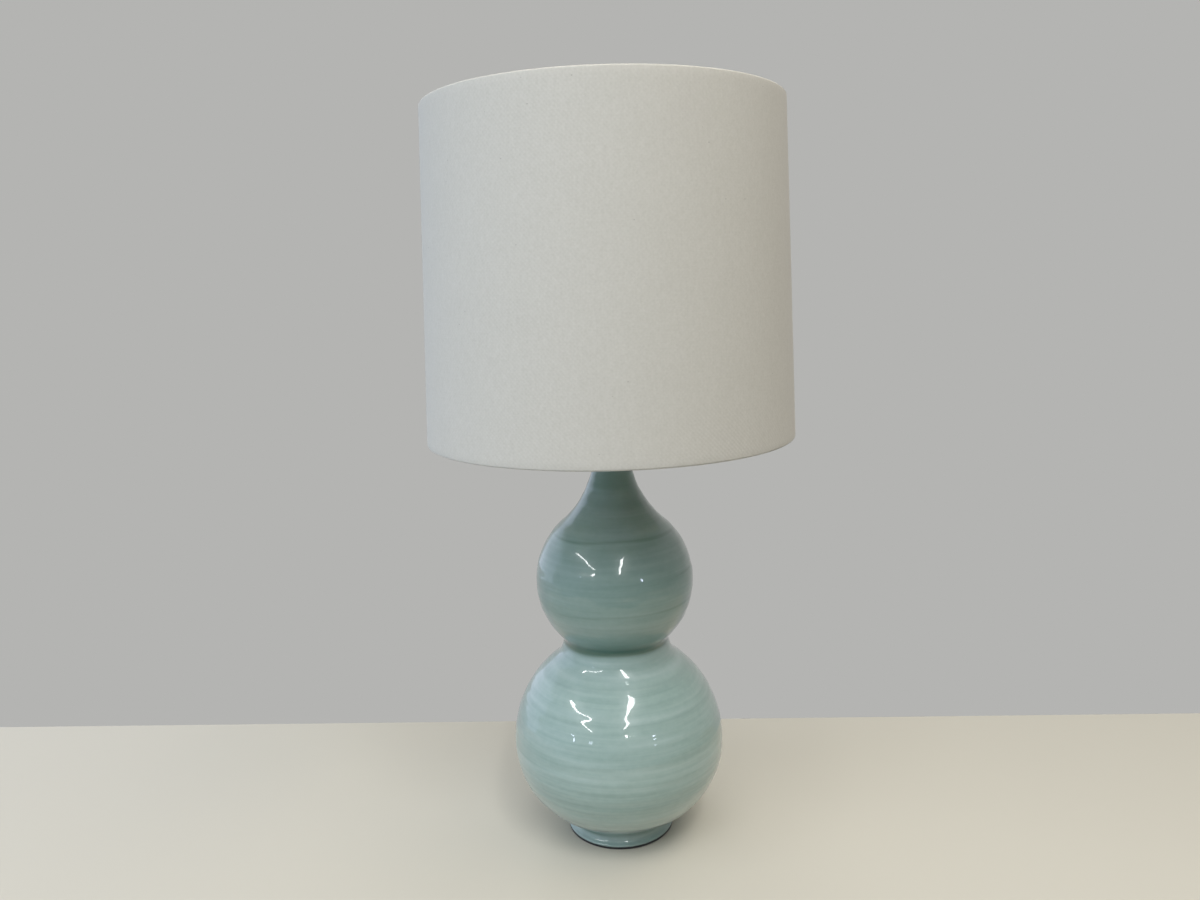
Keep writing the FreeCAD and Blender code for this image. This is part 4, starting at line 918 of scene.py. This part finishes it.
    def bushing(self) -> Object:
        """The bushing: a sleeve through the wall with a rounded flange and a belled mouth.

        Returns:
            The new piece.
        """
        outline = rounded([
            (4.0, -8.0, 0.3), (5.8, -8.0, 0.5), (5.8, 0.0, 0.0), (8.2, 0.0, 0.25), (8.2, 2.2, 1.1),
            (4.0, 2.2, 0.8),
        ], closed=True)
        return placed(turned("cord_hole_bushing", outline, segments=64), self.outlet())


# ---------------------------------------------------------------- shade


@dataclass
class DrumShade(Assembly):
    """The linen drum, its lining, its washer fitter and the three arms."""

    body: Body = Body.SHADE
    hub: float = 756.7
    drop: float = 17.0
    height: float = 330.0
    bottom: float = 190.5
    top: float = 179.0
    cloth: float = 0.7
    panel: float = 0.8
    gap: float = 0.15
    wire: float = 1.6
    roll: float = 2.0
    hem: float = 9.0
    lap: float = 11.0
    lap_step: float = 0.45
    seam: float = 102.0
    washer: float = 12.5
    arm_angles: tuple[float, float, float] = (90.0, 210.0, 330.0)

    @property
    def upper(self) -> float:
        """Level of the top rim."""
        return self.hub + self.drop

    @property
    def lower(self) -> float:
        """Level of the bottom rim."""
        return self.upper - self.height

    @property
    def rolled(self) -> float:
        """Width of a rolled rim, from the outer face to the hem."""
        return 2 * self.cloth + self.panel + 3 * self.gap + 2 * self.wire

    def build(self) -> None:
        """Makes the cloth, the lining and the spider."""
        cloth = self.take(self.skin(), "linen", "shade_linen")
        self.take(self.lining(), "styrene", "shade_panel")
        self.take(self.fitter(), "brass_wire", "spider_hub")
        self.take(self.arms(), "brass_wire", "spider_arms")

    def section(self) -> np.ndarray:
        """The cloth's section: the skin, turned in over both rings, with the hems' cut edges.

        Returns:
            The line's points.
        """
        edge, thin = self.roll, self.cloth
        upper, lower, hem = self.upper, self.lower, self.hem
        top_in, bottom_in = self.top - self.rolled, self.bottom - self.rolled
        outline = rounded([
            (self.bottom, lower, edge), (self.top, upper, edge), (top_in, upper, edge),
            (top_in, upper - hem, 0.3), (top_in + thin, upper - hem, 0.3), (top_in + thin, upper - thin, 1.3),
            (self.top - thin, upper - thin, 1.3), (self.bottom - thin, lower + thin, 1.3),
            (bottom_in + thin, lower + thin, 1.3), (bottom_in + thin, lower + hem, 0.3),
            (bottom_in, lower + hem, 0.3), (bottom_in, lower, edge),
        ], closed=True, steps=4)
        return refined(outline, 9.0, closed=True)

    def skin(self) -> Object:
        """The cloth: its section turned round Z, with a glued lap at the back and a notch round each arm.

        The radius gains half a millimetre over the lap, and a slow waviness of a few tenths where the lining
        isn't quite round. The top hem gets shorter at the arms.

        Returns:
            The new piece.
        """
        outline = self.section()
        arms = np.radians(self.arm_angles)
        close = np.radians(np.array([-2.2, -1.4, -1.0, -0.85, -0.7, -0.3, 0.3, 0.7, 0.85, 1.0, 1.4, 2.2]))
        lap = np.radians(self.seam)
        lap_half = self.lap / self.bottom / 2
        edges = lap + np.array([-1.08, -1.0, -0.96, -0.5, 0.0, 0.5, 0.96, 1.0, 1.08]) * lap_half
        even = around(288)
        special = np.concatenate([(arms[:, None] + close).ravel(), edges])
        far = np.abs(even[:, None] - special[None, :]).min(axis=1) > np.radians(0.5)
        angles = np.sort(np.concatenate([even[far], special]))
        away = np.abs((angles[:, None] - arms + np.pi) % TURN - np.pi).min(axis=1) * self.top
        notch = 1.0 - 0.94 * np.clip((4.2 - away) / 1.6, 0.0, 1.0)
        points = turned_points(outline, angles)
        across, up = outline[:, 0], outline[:, 1]
        in_hem = (across < self.top - self.rolled + self.cloth + 0.05) & (up > self.upper - self.hem - 0.1)
        in_hem &= up < self.upper - self.roll
        start = self.upper - self.roll
        points[..., 2] = np.where(in_hem[:, None], start - (start - up[:, None]) * notch, points[..., 2])
        share = (up - self.lower) / self.height
        outside = across > self.bottom + (self.top - self.bottom) * share - self.cloth * 0.4
        lapped = np.clip((1.04 - np.abs(angles - lap) / lap_half) / 0.08, 0.0, 1.0)
        belly = np.sin(np.pi * np.clip(share, 0.0, 1.0))[:, None]
        wavy = 0.16 * np.sin(3 * angles + 0.8) * belly
        wavy = wavy + 0.07 * np.sin(7 * angles + 2.1 + 3.0 * share[:, None]) * belly
        push(points, angles, wavy + self.lap_step * lapped * outside[:, None])
        length = np.linalg.norm(np.diff(outline, axis=0, append=outline[:1]), axis=1)
        along = np.concatenate([[0.0], np.cumsum(length)])
        turn = np.append(angles, angles[0] + TURN) * (self.bottom + self.top) / 2
        uv = np.stack(np.meshgrid(turn, along), axis=-1) * MM
        return surface("linen_drum", points, wrap_rows=True, uv=uv, crease=50.0)

    def lining(self) -> Object:
        """The styrene lining, inside the cloth from rim to rim.

        Returns:
            The new piece.
        """
        outer = self.cloth + self.gap
        inner = outer + self.panel
        outline = rounded([
            (self.bottom - inner, self.lower + self.roll, 0.1), (self.bottom - outer, self.lower + self.roll, 0.1),
            (self.top - outer, self.upper - self.roll, 0.1), (self.top - inner, self.upper - self.roll, 0.1),
        ], closed=True, steps=2)
        return turned("styrene_lining", refined(outline, 30.0, closed=True), segments=224)

    def fitter(self) -> Object:
        """The pressed washer, its edge turned over.

        Returns:
            The new piece.
        """
        low, high = self.hub, self.hub + 1.6
        outline = rounded([
            (5.5, low, 0.25), (self.washer, low, 0.5), (self.washer, high, 0.7), (11.0, high, 0.4),
            (10.4, high - 0.25, 0.4), (7.4, high - 0.25, 0.4), (6.8, high, 0.4), (5.5, high, 0.25),
        ], closed=True)
        return turned("spider_washer", outline, segments=72)

    def arms(self) -> Object:
        """The three arms: level from the washer, then bent up to the top ring, each ending in a weld.

        Returns:
            The new piece.
        """
        inset = self.cloth + self.panel + 2 * self.gap + self.wire
        ring, level = self.top - inset, self.upper - self.cloth - self.gap - self.wire
        start, low = self.washer + self.gap, self.hub + 0.8
        slant = np.array([24.0, level - low])
        slant /= np.linalg.norm(slant)
        line = rounded([
            (start, low, 0.0), (ring - 24.0, low, 14.0),
            (ring - slant[0] * 1.75, level - slant[1] * 1.75, 0.0),
        ], steps=8)
        line = refined(line, 12.0)
        pieces = []
        for turn in np.radians(self.arm_angles):
            out = np.array([np.cos(turn), np.sin(turn), 0.0])
            side = np.array([-np.sin(turn), np.cos(turn), 0.0])
            path = line[:, :1] * out + line[:, 1:] * np.array([0.0, 0.0, 1.0])
            pieces.append(surface("arm", tube_points(path, side, self.wire, 14)))
            bead = rounded([(0, -2.4, 0), (1.75, -2.0, 0.8), (2.1, 0.0, 0.8), (1.75, 1.6, 0.8), (0, 2.0, 0)])
            spot = Vector(out * (start + 0.9) + np.array([0.0, 0.0, low])) * MM
            tilt = Vector(out).to_track_quat("Z", "Y").to_matrix().to_4x4()
            pieces.append(placed(turned("weld", bead, closed=False, segments=20), Matrix.Translation(spot) @ tilt))
        return joined("spider_wires", pieces)


# ---------------------------------------------------------------- harp, finial and neck


@dataclass
class Carriage(Assembly):
    """What stands on the neck and carries the shade: cap, spacer, harp, ferrules, stud and finial."""

    rim: float = 430.0
    spacer: float = 438.2
    seat: float = 466.2
    stud: float = 752.2
    washer: float = 758.3
    wire: float = 2.0
    leg: float = 27.0
    wide: float = 57.0
    bore: float = 5.1
    thread_pitch: float = 0.94
    thread_depth: float = 0.14
    globe: float = 9.0

    def build(self) -> None:
        """Makes the pieces from the neck up."""
        self.take(self.cap(), "brass", "vase_cap")
        self.take(self.spool(), "brass", "neck_spacer")
        self.take(self.loop(), "brass_wire", "harp")
        self.take(self.swivel(), "brass", "harp_stud")
        self.take(self.ball(), "brass", "finial", body=Body.FINIAL)
        for side, body, hand in (("left", Body.FERRULE_LEFT, -1), ("right", Body.FERRULE_RIGHT, 1)):
            sleeve = placed(self.sleeve(f"ferrule_sleeve_{side}"), Matrix.Translation((hand * self.leg * MM, 0, 0)))
            self.take(sleeve, "brass", f"harp_ferrule_{side}", body=body)

    def cap(self) -> Object:
        """The spun cap: skirt with a rolled lip, flat shoulder and dome.

        Returns:
            The new piece.
        """
        dome_out = arc_points((13.3, self.rim + 8.6), 7.4, -90.0, -170.0, 10)
        dome_in = arc_points((13.3, self.rim + 8.6), 8.6, -165.0, -92.0, 10)
        skirt = rounded([
            (12.8, self.rim, 0.0), (18.9, self.rim, 0.15), (18.9, self.rim - 3.0, 0.3), (20.3, self.rim - 3.0, 0.5),
            (20.3, self.rim - 1.8, 0.5), (20.1, self.rim - 1.4, 0.3), (20.1, self.rim + 1.2, 1.2),
            (13.4, self.rim + 1.2, 0.0),
        ])
        top = rounded([
            (dome_out[-1, 0], self.rim + 7.0, 0.0), (6.9, self.rim + 8.2, 0.5), (self.bore, self.rim + 8.2, 0.2),
            (self.bore, self.rim + 7.0, 0.2), (6.0, self.rim + 7.0, 0.0),
        ])
        outline = np.vstack([skirt, dome_out[1:-1], top, dome_in[dome_in[:, 0] > 5.3][:-1]])
        outline[:, 1] = np.minimum(outline[:, 1], self.rim + 8.2)
        return turned("vase_cap_spun", outline, segments=96)

    def spool(self) -> Object:
        """The spacer: two rims and a hollow between them.

        Returns:
            The new piece.
        """
        low, high = self.spacer, self.spacer + 8.0
        hollow = arc_points((12.1, low + 4.0), 4.8, 180 + 31.0, 180 - 31.0, 12)
        outline = np.vstack([
            rounded([(self.bore, low, 0.2), (8.0, low, 0.4), (8.0, low + 1.5, 0.0)]), hollow,
            rounded([(8.0, high - 1.5, 0.0), (8.0, high, 0.4), (self.bore, high, 0.2), (self.bore, high - 1, 0.0)]),
        ])
        return turned("neck_spool", outline, segments=72)

    def loop(self) -> Object:
        """The harp's wire: legs, two easy bends out to the widest place, and a half circle over the bulb.

        Returns:
            The new piece.
        """
        widen, bow, leg, high = self.wide - self.leg, 95.0, 26.0, 286.0
        bend = (widen**2 + bow**2) / (4 * widen)
        swing = np.degrees(np.arcsin(bow / 2 / bend))
        right = np.vstack([
            refined(np.array([(self.leg, 0.0), (self.leg, leg)]), 6.0),
            arc_points((self.leg + bend, leg), bend, 180.0, 180.0 - swing, 10)[1:],
            arc_points((self.wide - bend, leg + bow), bend, -swing, 0.0, 10)[1:],
            refined(np.array([(self.wide, leg + bow), (self.wide, high - self.wide)]), 12.0)[1:],
            arc_points((0.0, high - self.wide), self.wide, 0.0, 90.0, 22)[1:],
        ])
        line = np.vstack([right, right[-2::-1] * [-1.0, 1.0]])
        path = np.stack([line[:, 0], 0 * line[:, 0], line[:, 1] + self.seat], axis=1)
        return surface("harp_loop", tube_points(path, np.array([0.0, 1.0, 0.0]), self.wire, 18), crease=60.0)

    def swivel(self) -> Object:
        """The stud: a block through which the wire runs, a shoulder, a spigot and a threaded post.

        The post's thread is a wave on the radius that climbs 0.94 mm a turn.

        Returns:
            The new piece.
        """
        low, rest = self.stud - 3.6, self.stud + 2.0
        stem = rounded([
            (0, low, 0), (6.5, low, 0.8), (6.5, rest, 0.2), (9.5, rest, 0.4), (9.5, rest + 2.5, 1.0),
            (5.42, rest + 2.5, 0.1), (5.42, rest + 3.9, 0.2), (3.1, rest + 3.9, 0.0),
        ])
        post = refined(np.array([(3.1, rest + 4.0), (3.1, rest + 14.2)]), 0.16)
        tip = rounded([(2.9, rest + 14.3, 0), (2.3, rest + 15.1, 0.2), (0, rest + 15.1, 0)])
        outline = np.vstack([stem, post, tip])
        angles = around(48)
        points = turned_points(outline, angles)
        level = outline[:, 1:]
        depth = self.thread_depth * (1 - np.cos(level * TURN / self.thread_pitch - angles))
        push(points, angles, -depth * ((level > rest + 4.2) & (level < rest + 14.2)))
        return surface("harp_swivel_stud", points, crease=50.0)

    def ball(self) -> Object:
        """The finial: foot, hollow neck and ball, bored for the post.

        Returns:
            The new piece.
        """
        low = self.washer
        rise = np.sqrt(self.globe**2 - 4.8**2)
        start = np.degrees(np.arctan2(-rise, 4.8))
        globe = arc_points((0.0, low + 12.0 + rise), self.globe, start, 90.0, 30)
        foot = rounded([
            (0, low + 12.6, 0), (3.18, low + 12.6, 0.3), (3.18, low, 0.4), (6.5, low, 0.4), (6.5, low + 2.0, 0.7),
            (5.6, low + 3.0, 0.8), (4.8, low + 7.0, 3.0), (4.8, low + 10.2, 0.2), (5.7, low + 10.5, 0.35),
            (5.7, low + 11.3, 0.35), (4.8, low + 11.6, 0.2), (4.8, low + 12.0, 0),
        ], steps=6)
        return turned("ball_finial", np.vstack([foot, globe[1:]]), closed=False, segments=72)

    def sleeve(self, name: str) -> Object:
        """A ferrule: a short tube with rounded ends and a shallow groove for the fingernail.

        Args:
            name: the new object's name.

        Returns:
            The new piece.
        """
        low = self.seat - 8.0
        outline = rounded([
            (2.3, low, 0.2), (3.6, low, 0.5), (3.6, low + 5.0, 0.1), (3.35, low + 5.4, 0.1), (3.35, low + 6.2, 0.1),
            (3.6, low + 6.6, 0.1), (3.6, low + 16.0, 0.6), (2.3, low + 16.0, 0.2),
        ], closed=True)
        return turned(name, outline, segments=48)


# ---------------------------------------------------------------- socket, switch and bulb


@dataclass
class Socket(Assembly):
    """The brass socket with its turn knob."""

    seat: float = 451.0
    shell_seat: float = 466.0
    shaft: float = 478.0
    knob_start: float = 17.7
    knob_length: float = 18.0
    shaft_hole: float = 1.95
    shaft_reach: float = 8.35
    bore: float = 5.1

    def build(self) -> None:
        """Makes the cap, the shell and the knob."""
        self.take(self.cap(), "brass", "socket_cap")
        self.take(self.shell(), "brass", "socket_shell")
        self.take(self.knob(), "black_phenolic", "switch_knob", body=Body.SWITCH)

    def cap(self) -> Object:
        """The spun cap: hub, bell and the collar that the shell snaps into.

        Returns:
            The new piece.
        """
        low = self.seat
        bell = arc_points((5.4, low + 20.0), 12.0, -66.0, -24.6, 12)
        lining = arc_points((5.4, low + 20.0), 10.9, -26.0, -64.0, 12)
        outline = np.vstack([
            rounded([(self.bore, low, 0.2), (8.0, low, 0.5), (8.0, low + 7.0, 0.4), (9.4, low + 8.2, 0.6),
                     (bell[0, 0], bell[0, 1], 0)]),
            bell[1:],
            rounded([(17.3, low + 15.8, 0), (17.3, low + 20.2, 0.2), (17.6, low + 20.5, 0.2),
                     (17.3, low + 21.0, 0.3), (16.3, low + 21.0, 0.2), (16.3, low + 15.6, 0.4),
                     (lining[0, 0] - 0.1, lining[0, 1], 0)]),
            lining[1:],
            rounded([(9.0, low + 9.8, 0), (7.4, low + 9.0, 0.3), (self.bore, low + 9.0, 0.2),
                     (self.bore, low + 8.0, 0)]),
        ])
        return turned("socket_cap_spun", outline, segments=96)

    def shell(self) -> Object:
        """The drawn shell with its bead, and crimps round its lower edge; a round opening clears the shaft.

        The crimps are a wave on the radius, 26 to the turn, that dies out a few millimetres up.

        Returns:
            The new piece.
        """
        low = self.shell_seat
        outline = rounded([
            (15.7, low, 0.15), (16.2, low, 0.15), (16.2, low + 44.0, 0.3), (16.8, low + 44.9, 0.8),
            (16.8, low + 46.1, 0.8), (16.2, low + 47.0, 0.3), (16.2, low + 52.0, 0.2), (15.7, low + 52.0, 0.2),
        ], closed=True)
        outline = refined(outline, 1.5, closed=True)
        angles = around(208)
        points = turned_points(outline, angles)
        level = outline[:, 1:] - low
        push(points, angles, -0.12 * np.cos(26 * angles) * np.clip(1 - level / 5.0, 0.0, 1.0) * (level > 0.4))
        shell = surface("socket_shell_drawn", points, wrap_rows=True)
        forward = Matrix.Translation((0, -16 * MM, self.shaft * MM)) @ Matrix.Rotation(np.pi / 2, 4, "X")
        bored(shell, placed(rod(4.2, -6.0, 6.0, 40), forward))
        return shell

    def knob(self) -> Object:
        """The moulded knob: a round collar that flattens into a paddle.

        Each section is a rounded square, |x/w|^n + |z/t|^n = 1, whose half width, half thickness and power
        change along the knob.

        Returns:
            The new piece.
        """
        end = self.knob_length
        stops = np.array([0.0, 0.4, 3.6, 5.2, 7.4, 9.5, 12.0, 14.5, 16.3, 17.5, end])
        wide = np.array([4.5, 5.0, 5.0, 4.7, 6.0, 6.8, 6.85, 6.0, 4.6, 2.7, 0.0])
        thick = np.array([4.5, 5.0, 5.0, 3.8, 2.7, 2.5, 2.5, 2.45, 2.2, 1.5, 0.0])
        along = np.concatenate([[0.0, 0.0], end * np.sin(np.linspace(0.0, np.pi / 2, 60))])
        half, depth = np.interp(along, stops, wide), np.interp(along, stops, thick)
        half[0], depth[0] = self.shaft_hole, self.shaft_hole
        for line in (half, depth):
            line[3:-2] = np.convolve(line, [0.25, 0.5, 0.25], "same")[3:-2]
        power = (2.0 + 1.6 * np.clip((along - 3.6) / 4.0, 0.0, 1.0))[:, None]
        angle = around(72)[None, :]
        cos, sin = np.cos(angle), np.sin(angle)
        x = half[:, None] * np.sign(cos) * np.abs(cos) ** (2 / power)
        z = depth[:, None] * np.sign(sin) * np.abs(sin) ** (2 / power)
        flutes = 0.18 * np.cos(18 * angle) * ((along > 0.6) & (along < 3.4))[:, None]
        x, z = x + flutes * cos, z + flutes * sin
        y = -(self.knob_start + along)[:, None] + 0 * angle
        bottom = 0 * y[:1] - self.knob_start - self.shaft_reach
        bore = np.stack([self.shaft_hole * cos, bottom, self.shaft_hole * sin], axis=-1)
        floor = bore * [0.0, 1.0, 0.0]
        points = np.concatenate([floor, bore, np.stack([x, y, z], axis=-1)]) + [0.0, 0.0, self.shaft]
        return surface("turn_knob", points, crease=48.0)


@dataclass
class ScrewBulb(Assembly):
    """The bulb: coated globe and rolled screw base."""

    body: Body = Body.BULB
    tip: float = 490.3
    pitch: float = 3.629
    globe: float = 30.0
    globe_rise: float = 78.0
    shoulder: float = 60.0
    neck: float = 12.2
    glass_wall: float = 0.9
    thread: float = 13.1

    def build(self) -> None:
        """Makes the glass and the base."""
        self.take(self.glass(), "frosted_glass", "bulb_glass")
        self.take(self.base(), "bulb_aluminium", "bulb_base")

    def glass(self) -> Object:
        """The globe and its neck, as a thin shell: its inner line down to the edge, and its outer line up."""
        outline = np.vstack([self.glass_line(self.glass_wall)[::-1], self.glass_line(0.0)])
        return surface("bulb_globe", turned_points(outline, around(96)), crease=50.0)

    def glass_line(self, inset: float) -> np.ndarray:
        """The glass's line from its lower edge up to the top: a neck, a hollow arc and a ball that touches it.

        Args:
            inset: depth below the outer face.

        Returns:
            The line's points.
        """
        offset, reach = self.neck + self.shoulder, self.globe + self.shoulder
        down = np.sqrt(reach**2 - offset**2)
        centre = self.tip + self.globe_rise
        meet = np.degrees(np.arctan2(down, offset))
        neck = arc_points((offset, centre - down), self.shoulder + inset, 180.0, 180.0 - meet, 24)
        globe = arc_points((0.0, centre), self.globe - inset, -meet, 90.0, 48)
        low = np.array([(self.neck - inset, self.tip + 18.0), (self.neck - inset, centre - down - 2.0)])
        return np.vstack([low, neck, globe[1:]])

    def base(self) -> Object:
        """The screw base: rolled thread between a plain collar and a rounded lower edge.

        The thread is a wave on the radius whose phase follows the height over the pitch less the turn.

        Returns:
            The new piece.
        """
        low, high, wide = self.tip + 6.0, self.tip + 27.0, self.thread
        outline = rounded([
            (10.1, low, 0.1), (12.3, low, 0.9), (wide, low + 2.2, 0.6), (wide, high, 0.2), (12.6, high, 0.2),
            (12.6, low + 2.6, 0.5), (12.0, low + 0.6, 0.3), (10.1, low + 0.6, 0.1),
        ], closed=True)
        outline = refined(outline, 0.45, closed=True)
        angles = around(128)
        points = turned_points(outline, angles)
        level = outline[:, 1:]
        fade = np.clip((level - low - 2.4) / 1.5, 0.0, 1.0) * np.clip((high - 3.2 - level) / 1.5, 0.0, 1.0)
        push(points, angles, -0.45 * (1 - np.cos(level * TURN / self.pitch - angles)) * fade)
        return surface("screw_base", points, wrap_rows=True, crease=60.0)


# ---------------------------------------------------------------- studio


@dataclass(frozen=True)
class Lamp:
    """A rectangular lamp that the camera doesn't see, with its size in metres."""

    name: str
    size: tuple[float, float]
    watts: float
    colour: str = "FFFFFF"
    in_gloss: bool = True

    def place(self) -> Matrix:
        """Where the lamp hangs, and which way it shines."""
        raise NotImplementedError

    def hang(self) -> None:
        """Adds the lamp to the scene."""
        data = bpy.data.lights.new(self.name, "AREA")
        data.shape, (data.size, data.size_y) = "RECTANGLE", self.size
        data.energy, data.color = self.watts, linear(self.colour)[:3]
        lamp = in_scene(self.name, data)
        lamp.matrix_world = self.place()
        lamp.visible_camera, lamp.visible_glossy = False, self.in_gloss


@dataclass(frozen=True)
class FacingLamp(Lamp):
    """A lamp that faces the object, by its degrees to the right of the front and above the level."""

    azimuth: float = 0.0
    height: float = 0.0
    distance: float = 2.4
    target: tuple[float, float, float] = (0.0, 0.0, 0.33)

    def place(self) -> Matrix:
        """Out from the target along the lamp's direction, with its back that way.

        Returns:
            The place, as a matrix.
        """
        turn, rise = np.radians([self.azimuth, self.height])
        way = Vector((np.sin(turn) * np.cos(rise), -np.cos(turn) * np.cos(rise), np.sin(rise)))
        face = way.to_track_quat("Z", "Y").to_matrix().to_4x4()
        return Matrix.Translation(Vector(self.target) + way * self.distance) @ face


@dataclass(frozen=True)
class CeilingStrip(Lamp):
    """A narrow lamp that runs front to back and shines down, as a long highlight in gloss."""

    middle: tuple[float, float, float] = (0.0, 0.0, 1.8)

    def place(self) -> Matrix:
        """At its middle, unturned."""
        return Matrix.Translation(self.middle)


# A broad soft lamp high in front, a warm one at the right, a cool one low at the left, a window behind the
# left shoulder, two ceiling strips, two soft lamps behind, and small spots for the glints.
LAMPS: tuple[Lamp, ...] = (
    FacingLamp("key", (1.8, 1.0), 25.0, "FCFDFF", False, azimuth=-3.0, height=56.0, distance=2.6),
    FacingLamp("high", (1.4, 0.9), 14.0, "FFF0D8", False, azimuth=72.0, height=62.0, distance=2.6),
    FacingLamp("side", (1.6, 1.2), 15.0, "C6DAFF", False, azimuth=-70.0, height=6.0),
    FacingLamp("window", (2.4, 1.6), 8.0, "D0DEFF", azimuth=-124.0, height=8.0),
    CeilingStrip("strip_right", (0.17, 2.4), 26.0, middle=(0.42, -2.0, 1.8)),
    CeilingStrip("strip_left", (0.17, 2.5), 26.0, middle=(-1.8, -1.65, 1.8)),
    FacingLamp("back_0", (1.8, 1.2), 10.0, "FDFDFF", False, azimuth=138.0, height=34.0, distance=2.6),
    FacingLamp("back_1", (1.8, 1.2), 10.0, "FDFDFF", False, azimuth=-152.0, height=34.0, distance=2.6),
    FacingLamp("spot_0", (0.12, 0.08), 0.6, "DCE8FF", azimuth=39.0, height=10.0),
    FacingLamp("spot_1", (0.12, 0.08), 0.5, "DCE8FF", azimuth=-51.0, height=13.0),
    FacingLamp("spot_2", (0.12, 0.08), 0.25, "DCE8FF", azimuth=-30.0, height=11.0),
)


@dataclass
class Studio:
    """The camera, the floor, the lamps and the plain surroundings; the eye in millimetres, turns in degrees."""

    eye: tuple[float, float, float] = (-0.4, -949.2, 601.5)
    pitch: float = 10.36
    yaw: float = -0.69
    roll: float = -1.65
    lens: float = 27.36
    floor_left: float = -1.1
    floor_right: float = 0.95
    floor_near: float = -0.7
    floor_far: tuple[float, float] = (0.265, 0.215)
    floor_level: float = -0.0002

    def build(self) -> None:
        """Sets the scene up round the lamp."""
        self.camera()
        self.floor()
        self.surroundings()
        for lamp in LAMPS:
            lamp.hang()
        bpy.context.scene.view_settings.view_transform = "Standard"

    def camera(self) -> None:
        """The camera, turned by yaw, pitch and roll from looking level along +Y."""
        pitch, yaw, roll = np.radians([self.pitch, self.yaw, self.roll])
        ahead = np.array([np.sin(yaw) * np.cos(pitch), np.cos(yaw) * np.cos(pitch), -np.sin(pitch)])
        right = np.array([np.cos(yaw), -np.sin(yaw), 0.0])
        above = np.cross(right, ahead)
        data = bpy.data.cameras.new("camera")
        data.lens, data.sensor_width, data.sensor_fit = self.lens, 36.0, "HORIZONTAL"
        data.clip_start, data.clip_end = 0.02, 60.0
        camera = in_scene("camera", data)
        place = np.eye(4)
        place[:3, 0] = np.cos(roll) * right + np.sin(roll) * above
        place[:3, 1] = -np.sin(roll) * right + np.cos(roll) * above
        place[:3, 2], place[:3, 3] = -ahead, np.array(self.eye) * MM
        camera.matrix_world = Matrix(place.tolist())
        bpy.context.scene.camera = camera

    def floor(self) -> None:
        """A plain pale top that ends a little behind the lamp."""
        left, right, near, level = self.floor_left, self.floor_right, self.floor_near, self.floor_level
        far_left, far_right = self.floor_far
        mesh = bpy.data.meshes.new("floor")
        mesh.from_pydata([
            (left, near, level), (right, near, level), (right, far_right, level), (left, far_left, level),
        ], [], [(0, 1, 2, 3)])
        mesh.materials.append(Finish("floor_laminate", "C5C1B4").material())
        floor = in_scene("floor", mesh)

    def surroundings(self) -> None:
        """The world: a plain pale wall colour for what the eye sees, and soft light from all round."""
        world = bpy.data.worlds.new("studio")
        world.use_nodes = True
        bpy.context.scene.world = world
        tree = world.node_tree
        tree.nodes.clear()
        path = add_node(tree, "LightPath")
        split = add_node(tree, "SeparateXYZ", {"Vector": add_node(tree, "TexCoord").outputs["Generated"]})
        to_right, over, ahead = (
            add_node(tree, "MapRange", {
                "Value": split.outputs[axis], "From Min": low, "From Max": high,
                "To Min": start, "To Max": 1.0 - start,
            })
            for axis, low, high, start in (("X", -0.9, 0.9, 0.0), ("Z", 0.3, 0.8, 0.0), ("Y", -0.5, 0.3, 1.0))
        )
        horizon = add_node(tree, "Mix", {0: to_right, 6: linear("A4B8C8"), 7: linear("4A4230")}, data_type="RGBA")
        room = add_node(tree, "Mix", {0: over, 6: horizon, 7: linear("C8C6C2")}, data_type="RGBA")
        wall = add_node(tree, "Mix", {0: ahead, 6: linear("B4B4B2"), 7: linear("94938F")}, data_type="RGBA")
        shown = path.outputs["Is Camera Ray"]
        for ray in ("Is Glossy Ray", "Is Transmission Ray"):
            shown = add_node(tree, "Math", {0: shown, 1: path.outputs[ray]}, operation="MAXIMUM")
        light = add_node(tree, "Background", {"Color": room, "Strength": 0.65})
        seen = add_node(tree, "Background", {"Color": wall, "Strength": 1.0})
        both = add_node(tree, "MixShader", {0: shown, 1: light, 2: seen})
        add_node(tree, "OutputWorld", {"Surface": both})


def dress_cad_nodes(record: dict, nodes: dict[str, Object]) -> None:
    """Gives every CAD node the finish of its slot.

    Args:
        record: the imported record.
        nodes: the CAD nodes by name.
    """
    for part in record["subparts"]:
        mesh = nodes[part["node"]].data
        finish = finish_for(part["material_slot"])
        if not mesh.materials:
            mesh.materials.append(finish)
        for index in range(len(mesh.materials)):
            mesh.materials[index] = finish


def main() -> None:
    """Builds the lamp and its studio in order, and logs how many pieces each group makes."""
    logging.basicConfig(level=logging.INFO, format="%(name)s: %(message)s")
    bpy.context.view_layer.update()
    Studio().build()
    dress_cad_nodes(frame["record"], frame["nodes"])
    assemblies: Iterable[Assembly] = (GlazedBody(), DrumShade(), Carriage(), Socket(), ScrewBulb())
    for assembly in assemblies:
        assembly.build()
        LOG.info("%s: %d pieces", type(assembly).__name__, len(assembly.pieces))


if __name__ == "__main__":
    main()
